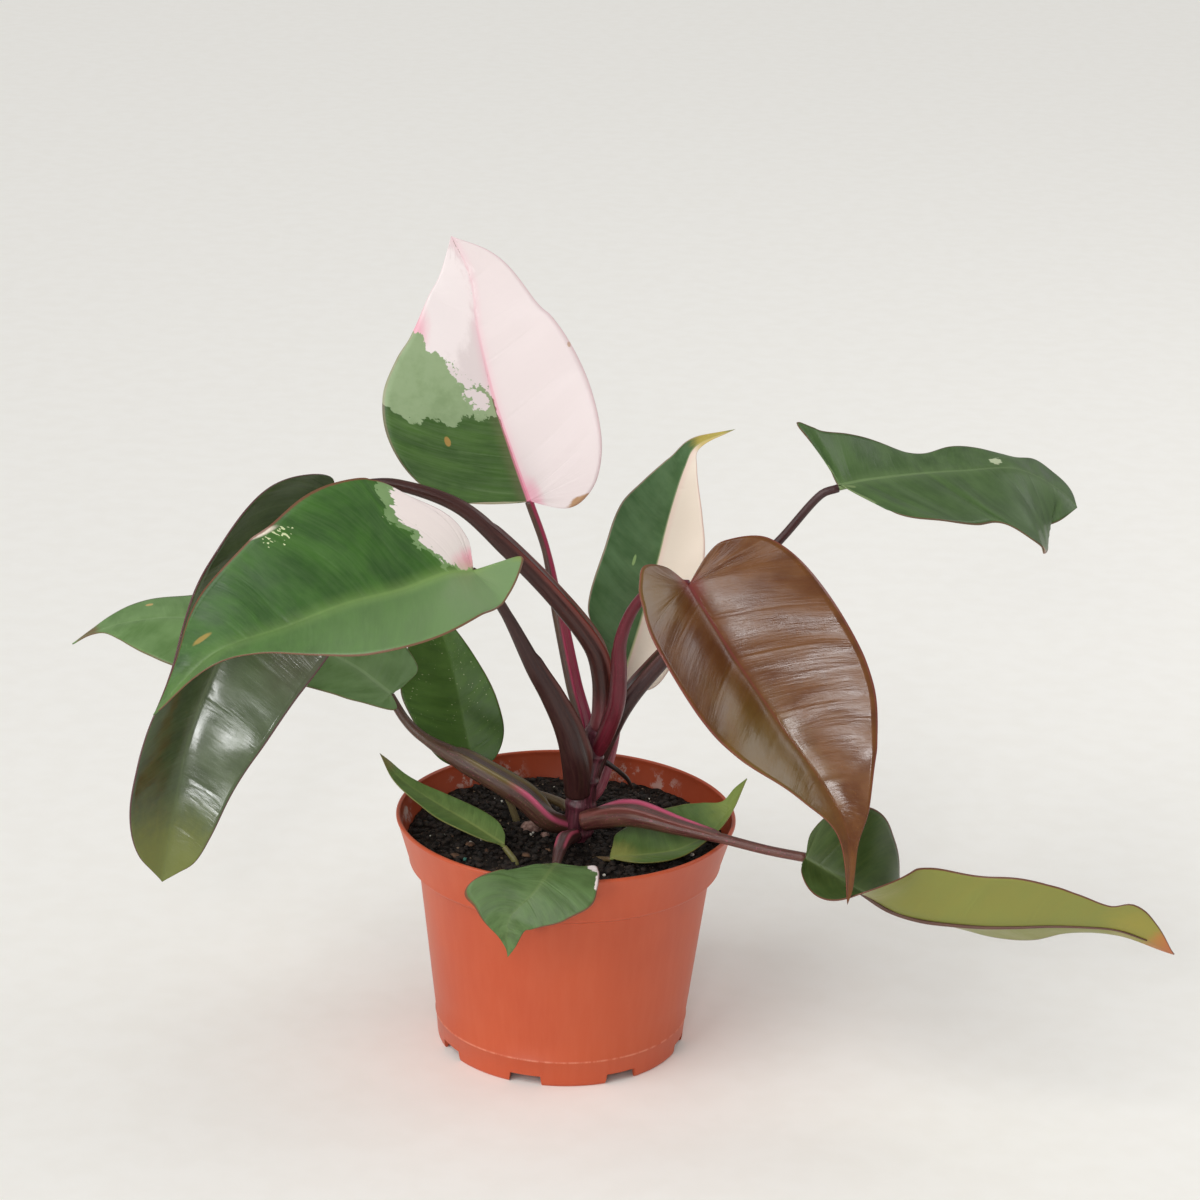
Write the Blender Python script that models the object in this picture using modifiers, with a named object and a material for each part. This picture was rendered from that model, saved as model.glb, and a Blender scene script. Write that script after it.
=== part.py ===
# Pink princess philodendron in a round plastic nursery pot.
# Sizes are in millimetres and turned to metres by MM. The origin is the centre of the pot's base,
# +X runs to the right and +Y to the back of the plant.

import math

import bmesh
import bpy
import numpy as np
from mathutils import Matrix, Vector

MM = 0.001
FIT_GAP = 0.3  # clearance between pieces that touch

RIM_RADIUS = 75.0  # a 15 cm pot
POT_HEIGHT = 106.7
COLLAR_FOOT_RADIUS = 69.0
COLLAR_FOOT_HEIGHT = 86.0
BODY_TOP_RADIUS = 64.6
BODY_TOP_HEIGHT = 82.0
RING_RADIUS = 56.2
RING_HEIGHT = 12.0
FOOT_RADIUS = 55.0
WALL = 1.2
BASE_UNDERSIDE = 3.2  # the base plate stands this far above the table
BOSS_RADIUS = 13.0  # flat boss under the middle of the base
POT_SEGMENTS = 48
NOTCHES = 8
NOTCH_SIZE = (16.0, 9.0)  # along and through the foot
NOTCH_HEIGHT = 4.6
FIRST_NOTCH = -105.0  # degrees from +X
DRAIN_HOLES = 6
DRAIN_HOLE_RADIUS = 3.5
DRAIN_CIRCLE_RADIUS = 32.0

SOIL_HEIGHT = 95.0
SOIL_RINGS = 9
SOIL_BUMP = 1.3  # height of the lumps in the peat

BLADE_THICKNESS = 0.9
BLADE_ROOM = BLADE_THICKNESS + 4 * FIT_GAP  # thickness of the room that a petiole's end leaves for its blade
BLADE_ROOM_REACH = 1.15  # and how far the room's side veins run past the blade's
RIB_SAMPLES = 120  # points that the rib's frame is kept at

STEM = dict(
    points=[(4, -4, 84), (5, -4, 98), (6, -4, 112), (8, -3, 126), (12, -1, 142), (15, 0, 155)],
    radii=[6.8, 6.8, 6.5, 6.1, 5.4, 4.4],
)

# Each leaf gives its rib from the joint with the petiole to the tip, the way its upper face looks
# along the rib, how far each half folds up from that plane, in degrees, and the outline of each half
# as (along the rib, out from the rib). "back" tilts the basal lobes down, or up where it is negative.
LEAVES = {
    "pink_upright": dict(
        rib=[(-20, 22, 243), (-28, 32, 261), (-37, 44, 283), (-45, 56, 310), (-49, 66, 331),
             (-58, 72, 348)],
        face=[(0, -0.9, 0.43), (0.05, -0.93, 0.36), (0.05, -0.97, 0.2)],
        fold=((14, 14, 10, 8), (20, 20, 16, 12)),
        left=[(4, 15), (9, 31), (21, 44), (41, 51), (59, 48), (73, 38), (85, 26), (106, 15)],
        right=[(-9, 14), (-9, 23), (-2, 33), (14, 41), (41, 43), (68, 38), (91, 26), (109, 13)],
        back=5,
        petiole=[(4, 7, 126), (7, 9, 140), (1, 12, 163), (-6, 16, 194), (-12, 20, 221), (-20, 22, 243)],
        radii=[3.2, 3.2, 3.0, 2.8, 1.9, 1.9],
    ),
    "green_front": dict(
        rib=[(-41, -45, 233), (-52, -50, 233), (-70, -58, 228), (-92, -66, 224), (-116, -74, 216),
             (-145, -82, 206), (-169, -86, 180)],
        face=[(0, -0.62, 0.78), (0, -0.62, 0.78), (-0.3, -0.6, 0.7)],
        fold=((30, 25, 20, 45), (31, 31, 31, 25)),
        left=[(-12, 4), (-20, 8), (-17, 15), (-6, 28), (10, 39), (34, 44), (57, 39), (77, 26), (97, 12),
              (120, 6)],
        right=[(0, 11), (4, 18), (16, 35), (26, 46), (51, 49), (73, 41), (89, 37), (106, 26), (124, 10)],
        back=-42,
        petiole=[(5, -6, 119), (3, -12, 138), (-1, -15, 153), (-8, -19, 169), (-15, -24, 183),
                 (-27, -34, 210),
                 (-37, -42, 228), (-41, -45, 233)],
        radii=[6.0, 6.0, 5.4, 4.6, 3.9, 2.3, 2.2, 2.2],
    ),
    "dark_left": dict(
        rib=[(-102, -5, 253), (-120, -14, 236), (-134, -22, 213), (-149, -30, 184), (-161, -36, 152),
             (-168, -40, 117), (-173, -42, 86)],
        face=[(0.25, -0.8, 0.5), (0.25, -0.9, 0.3), (0.1, -0.95, 0.2)],
        fold=((20, 20, 20, 15), (40, 40, 38, 25)),
        left=[(-12, 14), (-10, 30), (10, 41), (40, 43), (64, 41), (90, 37), (116, 32), (148, 20),
              (172, 11)],
        right=[(-3, 7), (4, 16), (22, 27), (47, 33), (80, 29), (110, 23), (134, 25), (151, 22), (173, 13)],
        back=10,
        petiole=[(15, -1, 157), (14, -2, 173), (9, -4, 188), (-8, -6, 210), (-29, -8, 232), (-49, -8, 249),
                 (-74, -8, 257.5), (-89, -6.5, 256.8), (-100.5, -5, 253.2)],
        radii=[5.0, 4.8, 4.5, 4.2, 4.0, 3.2, 2.5, 2.4, 2.3],
    ),
    "far_left": dict(
        rib=[(-78, 5, 158), (-97, 10, 170), (-123, 14, 179), (-168, 20, 185), (-195, 24, 181),
             (-213, 26, 174),
             (-221, 26, 169)],
        face=[(0, -0.3, 0.95), (0, -0.3, 0.95), (-0.2, -0.2, 0.95)],
        fold=((0, -8, -8, 0), (0, -4, -4, 0)),
        left=[(-6, 6), (6, 14), (16, 19), (40, 24), (70, 30), (96, 30), (112, 24), (128, 11), (139, 2)],
        right=[(-2, 10), (0, 24), (30, 32), (70, 30), (100, 20), (120, 17), (136, 9), (146, 2)],
        back=0,
        petiole=[(-1, -5, 102.5), (-9, -10.5, 108), (-20, -10, 118), (-44, -5, 130.5),
                 (-62, 0, 139), (-71, 3, 146),
                 (-78, 5, 158)],
        radii=[4.4, 5.0, 5.2, 4.8, 2.4, 2.1, 2.0],
    ),
    "rear_left": dict(
        rib=[(-42, 32, 113.5), (-47, 38, 131), (-52, 44, 151.5), (-58, 50, 169), (-64, 54, 184)],
        face=[(0.1, -0.95, 0.3)] * 3,
        fold=((15, 15, 12, 10), (15, 15, 12, 10)),
        left=[(1, 6), (9, 16), (29, 24), (42, 26), (57, 20), (69, 9)],
        right=[(2, 10), (13, 17), (29, 17), (46, 12), (61, 7)],
        back=0,
        petiole=[(3, 3, 104), (-2, 16, 104), (-18, 27, 105), (-34, 31, 108), (-42, 32, 113.5)],
        radii=[2.2, 2.1, 1.9, 1.8, 1.7],
    ),
    "small_left": dict(
        rib=[(-26, -30, 103), (-42, -20, 109), (-57, -9, 113), (-73, 0, 120), (-83, 5, 130)],
        face=[(-0.1, -0.3, 0.94), (-0.2, -0.3, 0.93), (-0.4, -0.3, 0.85)],
        fold=((15, 15, 12, 10), (15, 15, 12, 10)),
        left=[(9, 5), (24, 8), (45, 6), (61, 3)],
        right=[(4, 5), (12, 8), (30, 7), (52, 4), (66, 2)],
        back=0,
        petiole=[(-20, -33, 88), (-21, -33, 96), (-26, -30, 103)],
        radii=[1.4, 1.4, 1.2],
    ),
    "small_front": dict(
        rib=[(-3, -66, 111), (-6, -74, 110), (-12, -81, 103.5), (-22, -86, 93), (-22, -88, 77)],
        face=[(0, -0.5, 0.85), (-0.1, -0.8, 0.6), (-0.1, -0.95, 0.2)],
        fold=((10, 10, 10, 10), (10, 10, 10, 10)),
        left=[(-1, 11), (-3, 17), (5, 21), (13, 25), (20, 20), (28, 13), (45, 5)],
        right=[(6, 4), (13, 10), (20, 15), (28, 19), (34, 22), (36, 14), (41, 5), (47, 1)],
        back=0,
        petiole=[(4, -14, 101.5), (0, -26, 104.5), (-2, -45, 107.5), (-3, -66, 111)],
        radii=[3.0, 3.3, 2.8, 1.6],
    ),
    "small_right": dict(
        rib=[(20, -31, 99.5), (35, -31, 101), (51, -26, 102.5), (66, -16, 109), (79, -2, 126)],
        face=[(0, -0.2, 0.97), (0, -0.2, 0.97), (-0.5, -0.3, 0.8)],
        fold=((0, 2, 8, 10), (5, 5, 5, 10)),
        left=[(1, 8), (3, 18), (18, 29), (32, 28), (51, 20), (58, 13), (63, 5), (71, 3)],
        right=[(3, 3), (15, 7), (30, 6), (46, 3), (64, 2)],
        back=0,
        petiole=[(12, -25, 88), (12.5, -25.5, 95), (20, -31, 99.5)],
        radii=[1.2, 1.2, 1.1],
    ),
    "low_right": dict(
        rib=[(103, -50, 110), (127, -58, 99), (146, -64, 91), (178, -70, 90), (211, -76, 94),
             (237, -80, 94),
             (258, -80, 84)],
        face=[(0, -0.95, 0.3), (0, 0.8, 0.6), (0, 0.7, 0.7)],
        fold=((20, 18, 14, 15), (55, 30, 15, 15)),
        left=[(-3, 12), (2, 26), (15, 33), (33, 27), (50, 17), (68, 15), (85, 20), (101, 20),
              (118, 10), (140, 8),
              (155, 4)],
        right=[(2, 10), (13, 22), (30, 29), (54, 30), (77, 27), (100, 26), (122, 18), (134, 13), (141, 16),
               (150, 10), (158, 5)],
        back=0,
        petiole=[(8, -10, 107), (18, -14, 111), (30, -19, 114), (49, -27, 112.5),
                 (68, -34.5, 111), (87, -42, 109.5),
                 (103, -50, 110)],
        radii=[4.6, 5.2, 5.2, 3.6, 2.2, 2.1, 2.1],
    ),
    "bronze_right": dict(
        rib=[(49, -40, 228), (66, -50, 204), (87, -60, 177), (107, -72, 153), (118, -80, 134),
             (119, -86, 105)],
        face=[(0.2, -0.85, 0.5), (0.2, -0.9, 0.35), (0.2, -0.95, 0.1)],
        fold=((15, 15, 15, 15), (35, 35, 32, 25)),
        left=[(-7, 14), (-8, 23), (0, 38), (19, 46), (51, 47), (80, 41), (101, 26), (117, 12),
              (128, 4), (147, 2)],
        right=[(-11, 6), (-16, 18), (-11, 26), (-4, 32), (15, 40), (45, 39), (73, 31), (98, 17),
               (117, 7), (139, 2)],
        back=10,
        petiole=[(17, -7, 148), (21, -11, 163), (21.5, -13.5, 178), (21.5, -17, 194), (27, -24, 212),
                 (37, -32, 225), (49, -40, 228)],
        radii=[3.6, 3.4, 3.2, 2.8, 2.4, 2.2, 2.2],
    ),
    "green_top_right": dict(
        rib=[(113, 10, 258), (125, 16, 259), (149, 28, 259), (169, 38, 258), (194, 50, 256), (214, 58, 245),
             (223, 56, 237)],
        face=[(0, -0.3, 0.95), (0, -0.3, 0.95), (0.5, -0.3, 0.8)],
        fold=((30, 6, -4, -10), (0, -6, -12, -20)),
        left=[(-1, 12), (-5, 24), (-7, 33), (2, 28), (16, 25), (31, 21), (50, 15), (66, 18),
              (80, 17), (95, 12),
              (109, 18), (118, 12)],
        right=[(8, 5), (11, 22), (23, 33), (50, 36), (64, 35), (77, 45), (95, 46), (115, 34), (124, 20)],
        back=0,
        petiole=[(14, 3, 134), (24, 3, 157), (40, 5, 178), (64, 7, 205), (89, 9, 233), (105, 10, 253),
                 (113, 10, 258)],
        radii=[4.4, 4.4, 4.0, 3.0, 1.9, 1.8, 1.8],
    ),
    "cream_rear": dict(
        rib=[(22, 30, 154), (30, 37, 182), (37, 44, 209), (42, 50, 231), (48, 55, 251), (53, 58, 260),
             (70, 62, 267)],
        face=[(0, -0.95, 0.3)] * 3,
        fold=((30, 30, 28, 25), (30, 30, 28, 25)),
        left=[(10, 8), (20, 18), (33, 28), (63, 28), (80, 25), (93, 17), (108, 7), (119, 3)],
        right=[(5, 15), (17, 21), (40, 24), (66, 22), (85, 16), (104, 6), (114, 2)],
        back=0,
        petiole=[(8, 4, 108), (15, 9, 115), (19, 13, 128), (21, 19, 138), (22, 30, 154)],
        radii=[2.2, 2.0, 1.9, 1.9, 1.9],
    ),
}

# Stations along the margin and rows out from the rib, for large leaves and for small ones.
BLADE_ROWS = {True: (22, 4), False: (16, 3)}
SMALL_LEAVES = ("rear_left", "small_left", "small_front", "small_right")
ROOTED_LEAVES = ("small_left", "small_right")  # their petioles come up through the peat


def clear_scene():
    for obj in list(bpy.data.objects):
        bpy.data.objects.remove(obj)


def plain_material(name, color, roughness):
    """A Principled material with one colour, given in linear RGB."""
    material = bpy.data.materials.new(name)
    material.use_nodes = True
    shader = material.node_tree.nodes["Principled BSDF"]
    shader.inputs["Base Color"].default_value = (*color, 1.0)
    shader.inputs["Roughness"].default_value = roughness
    return material


def smooth_curve(points, where):
    """A curve through the points, read at values from 0 to 1."""
    points = np.asarray(points, float)
    chords = np.linalg.norm(np.diff(points, axis=0), axis=1) ** 0.5
    knots = np.concatenate([[0], np.cumsum(chords)])
    knots /= knots[-1]
    last = len(points) - 1
    tangents = np.array([
        (points[min(i + 1, last)] - points[max(i - 1, 0)]) / (knots[min(i + 1, last)] - knots[max(i - 1, 0)])
        for i in range(len(points))
    ])
    where = np.clip(np.asarray(where, float), 0, 1)
    i = np.clip(np.searchsorted(knots, where, side="right") - 1, 0, last - 1)
    span = knots[i + 1] - knots[i]
    f = (where - knots[i]) / span
    f, span = f[..., None], span[..., None]
    return (
        (2 * f**3 - 3 * f**2 + 1) * points[i]
        + (f**3 - 2 * f**2 + f) * span * tangents[i]
        + (3 * f**2 - 2 * f**3) * points[i + 1]
        + (f**3 - f**2) * span * tangents[i + 1]
    )


def evenly(points, count):
    """The same curve at points spaced evenly along it."""
    fine = smooth_curve(points, np.linspace(0, 1, 400))
    along = np.concatenate([[0], np.cumsum(np.linalg.norm(np.diff(fine, axis=0), axis=1))])
    wanted = np.linspace(0, along[-1], count)
    return np.stack([np.interp(wanted, along, fine[:, k]) for k in range(fine.shape[1])], axis=1), along[-1]


def unit(vectors):
    return vectors / np.linalg.norm(vectors, axis=-1, keepdims=True)


def blend(values, where):
    """Values given at even steps from 0 to 1, read between them."""
    return np.interp(where, np.linspace(0, 1, len(values)), values)


def rib_frame(leaf):
    """Points along the rib, with the directions along it, out of the upper face and to the leaf's right."""
    points, length = evenly(leaf["rib"], RIB_SAMPLES + 1)
    along = unit(np.gradient(points, axis=0))
    joint, middle, tip = (np.asarray(v, float) for v in leaf["face"])
    s = np.linspace(0, 1, RIB_SAMPLES + 1)[:, None]
    looks = joint * (1 - s) * (1 - 2 * s) + middle * 4 * s * (1 - s) + tip * s * (2 * s - 1)
    face = unit(looks - (looks * along).sum(axis=1, keepdims=True) * along)
    return dict(points=points, length=length, along=along, face=face, right=np.cross(along, face))


def place(leaf, frame, side, along, out):
    """Where a point of the flat leaf lies in space: side is 1 for the right half and -1 for the left."""
    s = np.clip(along / frame["length"], 0, 1)
    step = s * RIB_SAMPLES
    i = np.minimum(step.astype(int), RIB_SAMPLES - 1)
    f = (step - i)[:, None]
    origin, forward, face, right = (
        frame[key][i] * (1 - f) + frame[key][i + 1] * f for key in ("points", "along", "face", "right")
    )
    behind = np.minimum(along, 0)[:, None]
    drop = math.radians(leaf["back"])
    origin = origin + behind * (forward * math.cos(drop) + face * math.sin(drop))
    fold = np.radians(blend(leaf["fold"][0 if side < 0 else 1], s))[:, None]
    return origin + out[:, None] * (side * right * np.cos(fold) + face * np.sin(fold))


def half_outline(leaf, side, length, count):
    """Points along one half's edge, from the joint to the tip."""
    named = leaf["left" if side < 0 else "right"]
    return evenly([(0, 0), *named, (length, 0)], count)[0]


def rib_feet(edges, length):
    """Where on the rib the side vein to each edge point starts: the veins sweep forward."""
    share = np.linspace(0, 1, len(edges[0]))
    feet = []
    for edge in edges:
        reach = edge[:, 0] - 0.45 * edge[:, 1]
        feet.append(0.5 * (reach + np.sqrt(reach**2 + 36)) - 3 * (1 - share))
    feet = np.maximum.accumulate(np.clip(np.mean(feet, axis=0), 0, length))
    feet[0], feet[-1] = 0, length
    return feet


def blade_grid(leaf, stations, rows, reach):
    """Vertex places of the blade: stations along the rib by rows from the left edge to the right edge."""
    frame = rib_frame(leaf)
    edges = [half_outline(leaf, side, frame["length"], stations) for side in (-1, 1)]
    feet = rib_feet(edges, frame["length"])
    places = np.zeros((stations, 2 * rows + 1, 3))
    for side, edge in zip((-1, 1), edges):
        for row in range(rows + 1):
            v = row / rows if row < rows else reach
            out = 2 * (1 - v) * v * 0.55 * edge[:, 1] + v * v * edge[:, 1]
            bend = feet + 0.35 * (edge[:, 0] - feet)
            along = (1 - v) ** 2 * feet + 2 * (1 - v) * v * bend + v * v * edge[:, 0]
            places[:, rows + side * row] = place(leaf, frame, side, along, out)
    return places


def new_object(name, mesh, collection, material):
    obj = bpy.data.objects.new(name, mesh)
    if material:
        mesh.materials.append(material)
    collection.objects.link(obj)
    mesh.shade_smooth()
    return obj


def make_blade(name, leaf, small, collection, material, thickness=BLADE_THICKNESS, reach=1.0):
    """A leaf blade. Its side veins run to the edge, or by the factor reach past it."""
    stations, rows = BLADE_ROWS[not small]
    places = blade_grid(leaf, stations, rows, reach)
    bm = bmesh.new()
    bmesh.ops.create_grid(bm, x_segments=stations - 1, y_segments=2 * rows, size=0.5)
    for vert in bm.verts:
        station = round((vert.co.x + 0.5) * (stations - 1))
        row = round((vert.co.y + 0.5) * 2 * rows)
        vert.co = Vector(places[station, row]) * MM
    bmesh.ops.remove_doubles(bm, verts=bm.verts, dist=0.05 * MM)
    bmesh.ops.triangulate(bm, faces=bm.faces)
    mesh = bpy.data.meshes.new(name)
    bm.to_mesh(mesh)
    bm.free()
    blade = new_object(name, mesh, collection, material)
    wall = blade.modifiers.new("thickness", "SOLIDIFY")
    wall.thickness = thickness * MM
    wall.offset = 0.0
    return blade


def tube_mesh(name, points, radii, sides, count):
    """A closed tube along a smooth curve, tapering through the radii."""
    path, _ = evenly(points, count)
    steps = np.linalg.norm(np.diff(np.asarray(points, float), axis=0), axis=1)
    given = np.concatenate([[0], np.cumsum(steps)])
    width = np.interp(np.linspace(0, given[-1], count), given, radii)
    curve = bpy.data.curves.new(name, "CURVE")
    curve.dimensions = "3D"
    curve.bevel_depth = MM
    curve.bevel_resolution = sides // 2 - 2
    curve.use_fill_caps = True
    spline = curve.splines.new("POLY")
    spline.points.add(count - 1)
    for point, at, radius in zip(spline.points, path, width):
        point.co = (*(at * MM), 1)
        point.radius = radius
    guide = bpy.data.objects.new(name + "_curve", curve)
    bpy.context.scene.collection.objects.link(guide)
    bpy.context.view_layer.update()
    graph = bpy.context.evaluated_depsgraph_get()
    mesh = bpy.data.meshes.new_from_object(guide.evaluated_get(graph))
    bpy.data.objects.remove(guide)
    bm = bmesh.new()
    bm.from_mesh(mesh)
    bmesh.ops.remove_doubles(bm, verts=bm.verts, dist=1e-6)
    bmesh.ops.recalc_face_normals(bm, faces=bm.faces)
    bm.to_mesh(mesh)
    bm.free()
    mesh.name = name
    return mesh


def cut(obj, cutter):
    modifier = obj.modifiers.new(cutter.name, "BOOLEAN")
    modifier.use_self = True
    modifier.operation = "DIFFERENCE"
    modifier.object = cutter


def make_cutter(name, mesh, cutters):
    cutter = new_object(name, mesh, cutters, None)
    cutter.hide_render = True
    cutter.display_type = "WIRE"
    return cutter


def tube_room(name, points, radii, sides, count, cutters):
    """A cutter that leaves the fitting gap all round a tube."""
    grown = [radius + FIT_GAP for radius in radii]
    return make_cutter(name + "_room", tube_mesh(name + "_room", points, grown, sides, count), cutters)


def cylinder(name, center, radius, bottom, top, cutters, sides=16):
    bm = bmesh.new()
    bmesh.ops.create_cone(
        bm, cap_ends=True, segments=sides, radius1=radius * MM, radius2=radius * MM, depth=(top - bottom) * MM
    )
    middle = Vector((center[0], center[1], (bottom + top) / 2)) * MM
    bmesh.ops.translate(bm, verts=bm.verts, vec=middle)
    mesh = bpy.data.meshes.new(name)
    bm.to_mesh(mesh)
    bm.free()
    return make_cutter(name, mesh, cutters)


def turned(name, profile, collection, material):
    """A solid turned by a Screw modifier from a profile that starts and ends on the axis."""
    bm = bmesh.new()
    verts = [bm.verts.new((radius * MM, 0, height * MM)) for radius, height in profile]
    for first, second in zip(verts, verts[1:]):
        bm.edges.new((first, second))
    mesh = bpy.data.meshes.new(name)
    bm.to_mesh(mesh)
    bm.free()
    obj = new_object(name, mesh, collection, material)
    screw = obj.modifiers.new("turn", "SCREW")
    screw.steps = screw.render_steps = POT_SEGMENTS
    screw.use_merge_vertices = True
    screw.merge_threshold = 1e-5
    return obj


def applied(obj):
    """The object's modifiers made part of its mesh."""
    bpy.context.view_layer.update()
    graph = bpy.context.evaluated_depsgraph_get()
    mesh = bpy.data.meshes.new_from_object(obj.evaluated_get(graph))
    obj.modifiers.clear()
    obj.data = mesh
    return obj


def body_radius(height):
    share = (height - RING_HEIGHT) / (BODY_TOP_HEIGHT - RING_HEIGHT)
    return RING_RADIUS + share * (BODY_TOP_RADIUS - RING_RADIUS)


def inner_radius(height):
    """Inside of the wall: the body's taper, then the collar's."""
    if height < BODY_TOP_HEIGHT:
        return body_radius(height) - WALL
    share = (height - COLLAR_FOOT_HEIGHT) / (POT_HEIGHT - COLLAR_FOOT_HEIGHT)
    return COLLAR_FOOT_RADIUS + share * (RIM_RADIUS - COLLAR_FOOT_RADIUS) - WALL


def make_pot(collection, cutters, material):
    plate_top = BASE_UNDERSIDE + WALL
    plate_radius = body_radius(plate_top) - WALL - 1.2
    skirt_inside = FOOT_RADIUS - 1.6
    profile = [
        (0, plate_top),
        (plate_radius, plate_top),
        (inner_radius(plate_top + 1.5), plate_top + 1.5),
        (inner_radius(BODY_TOP_HEIGHT - 0.5), BODY_TOP_HEIGHT - 0.5),
        (inner_radius(COLLAR_FOOT_HEIGHT + 1), COLLAR_FOOT_HEIGHT + 1),
        (inner_radius(POT_HEIGHT - 2), POT_HEIGHT - 2),
        (RIM_RADIUS - 1.6, POT_HEIGHT - 0.4),
        (RIM_RADIUS - 0.9, POT_HEIGHT),
        (RIM_RADIUS - 0.1, POT_HEIGHT - 0.5),
        (RIM_RADIUS, POT_HEIGHT - 1.6),
        (COLLAR_FOOT_RADIUS, COLLAR_FOOT_HEIGHT),
        (COLLAR_FOOT_RADIUS - 0.8, COLLAR_FOOT_HEIGHT - 1.8),
        (body_radius(BODY_TOP_HEIGHT), BODY_TOP_HEIGHT),
        (RING_RADIUS, RING_HEIGHT + 0.5),
        (RING_RADIUS + 0.35, RING_HEIGHT),
        (RING_RADIUS + 0.1, RING_HEIGHT - 0.6),
        (FOOT_RADIUS + 0.2, 1.2),
        (FOOT_RADIUS - 0.6, 0),
        (skirt_inside, 0),
        (skirt_inside, BASE_UNDERSIDE),
        (BOSS_RADIUS + 1, BASE_UNDERSIDE),
        (BOSS_RADIUS, 0),
        (0, 0),
    ]
    pot = turned("pot", profile, collection, material)
    for i in range(NOTCHES):
        angle = math.radians(FIRST_NOTCH + 360 / NOTCHES * i)
        bm = bmesh.new()
        bmesh.ops.create_cube(bm, size=MM)
        bmesh.ops.scale(bm, verts=bm.verts, vec=(NOTCH_SIZE[1], NOTCH_SIZE[0], 2 * NOTCH_HEIGHT))
        bmesh.ops.translate(bm, verts=bm.verts, vec=(FOOT_RADIUS * MM, 0, 0))
        for vert in bm.verts:
            if vert.co.z > 0:
                vert.co.y *= 0.86
        bmesh.ops.rotate(bm, verts=bm.verts, cent=(0, 0, 0), matrix=Matrix.Rotation(angle, 3, "Z"))
        mesh = bpy.data.meshes.new("notch")
        bm.to_mesh(mesh)
        bm.free()
        cut(pot, make_cutter(f"notch_{i}", mesh, cutters))
    for i in range(DRAIN_HOLES):
        angle = 2 * math.pi * i / DRAIN_HOLES
        center = (DRAIN_CIRCLE_RADIUS * math.cos(angle), DRAIN_CIRCLE_RADIUS * math.sin(angle))
        hole = cylinder(f"drain_{i}", center, DRAIN_HOLE_RADIUS, -1, plate_top + 1, cutters, sides=12)
        cut(pot, hole)
    return pot


def soil_lumps(x, y):
    """Height of the peat's uneven top over its mean level."""
    return SOIL_BUMP * (
        0.5 * math.sin(x / 7 + 1.3) * math.cos(y / 9)
        + 0.3 * math.sin(x / 4.1 - y / 5.3)
        + 0.2 * math.cos(x / 2.9 + y / 3.7 + 2)
    )


def make_soil(collection, material):
    bottom = BASE_UNDERSIDE + WALL + FIT_GAP
    wall_gap = FIT_GAP + 0.1  # the pot's inside is a polygon too, and both have the same corners
    edge = inner_radius(SOIL_HEIGHT) - wall_gap
    profile = [(0, SOIL_HEIGHT)]
    profile += [(edge * ring / SOIL_RINGS, SOIL_HEIGHT) for ring in range(1, SOIL_RINGS + 1)]
    profile += [
        (inner_radius(COLLAR_FOOT_HEIGHT + 1) - wall_gap, COLLAR_FOOT_HEIGHT + 1),
        (inner_radius(BODY_TOP_HEIGHT - 0.5) - wall_gap, BODY_TOP_HEIGHT - 0.5),
        (body_radius(bottom) - WALL - 1.7, bottom),
        (0, bottom),
    ]
    soil = applied(turned("soil", profile, collection, material))
    for vert in soil.data.vertices:
        x, y, z = vert.co / MM
        if z > SOIL_HEIGHT - 0.01:
            level = 1.5 * (1 - (x * x + y * y) / edge**2)
            vert.co.z = (SOIL_HEIGHT + level + soil_lumps(x, y)) * MM
    return soil


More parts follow.
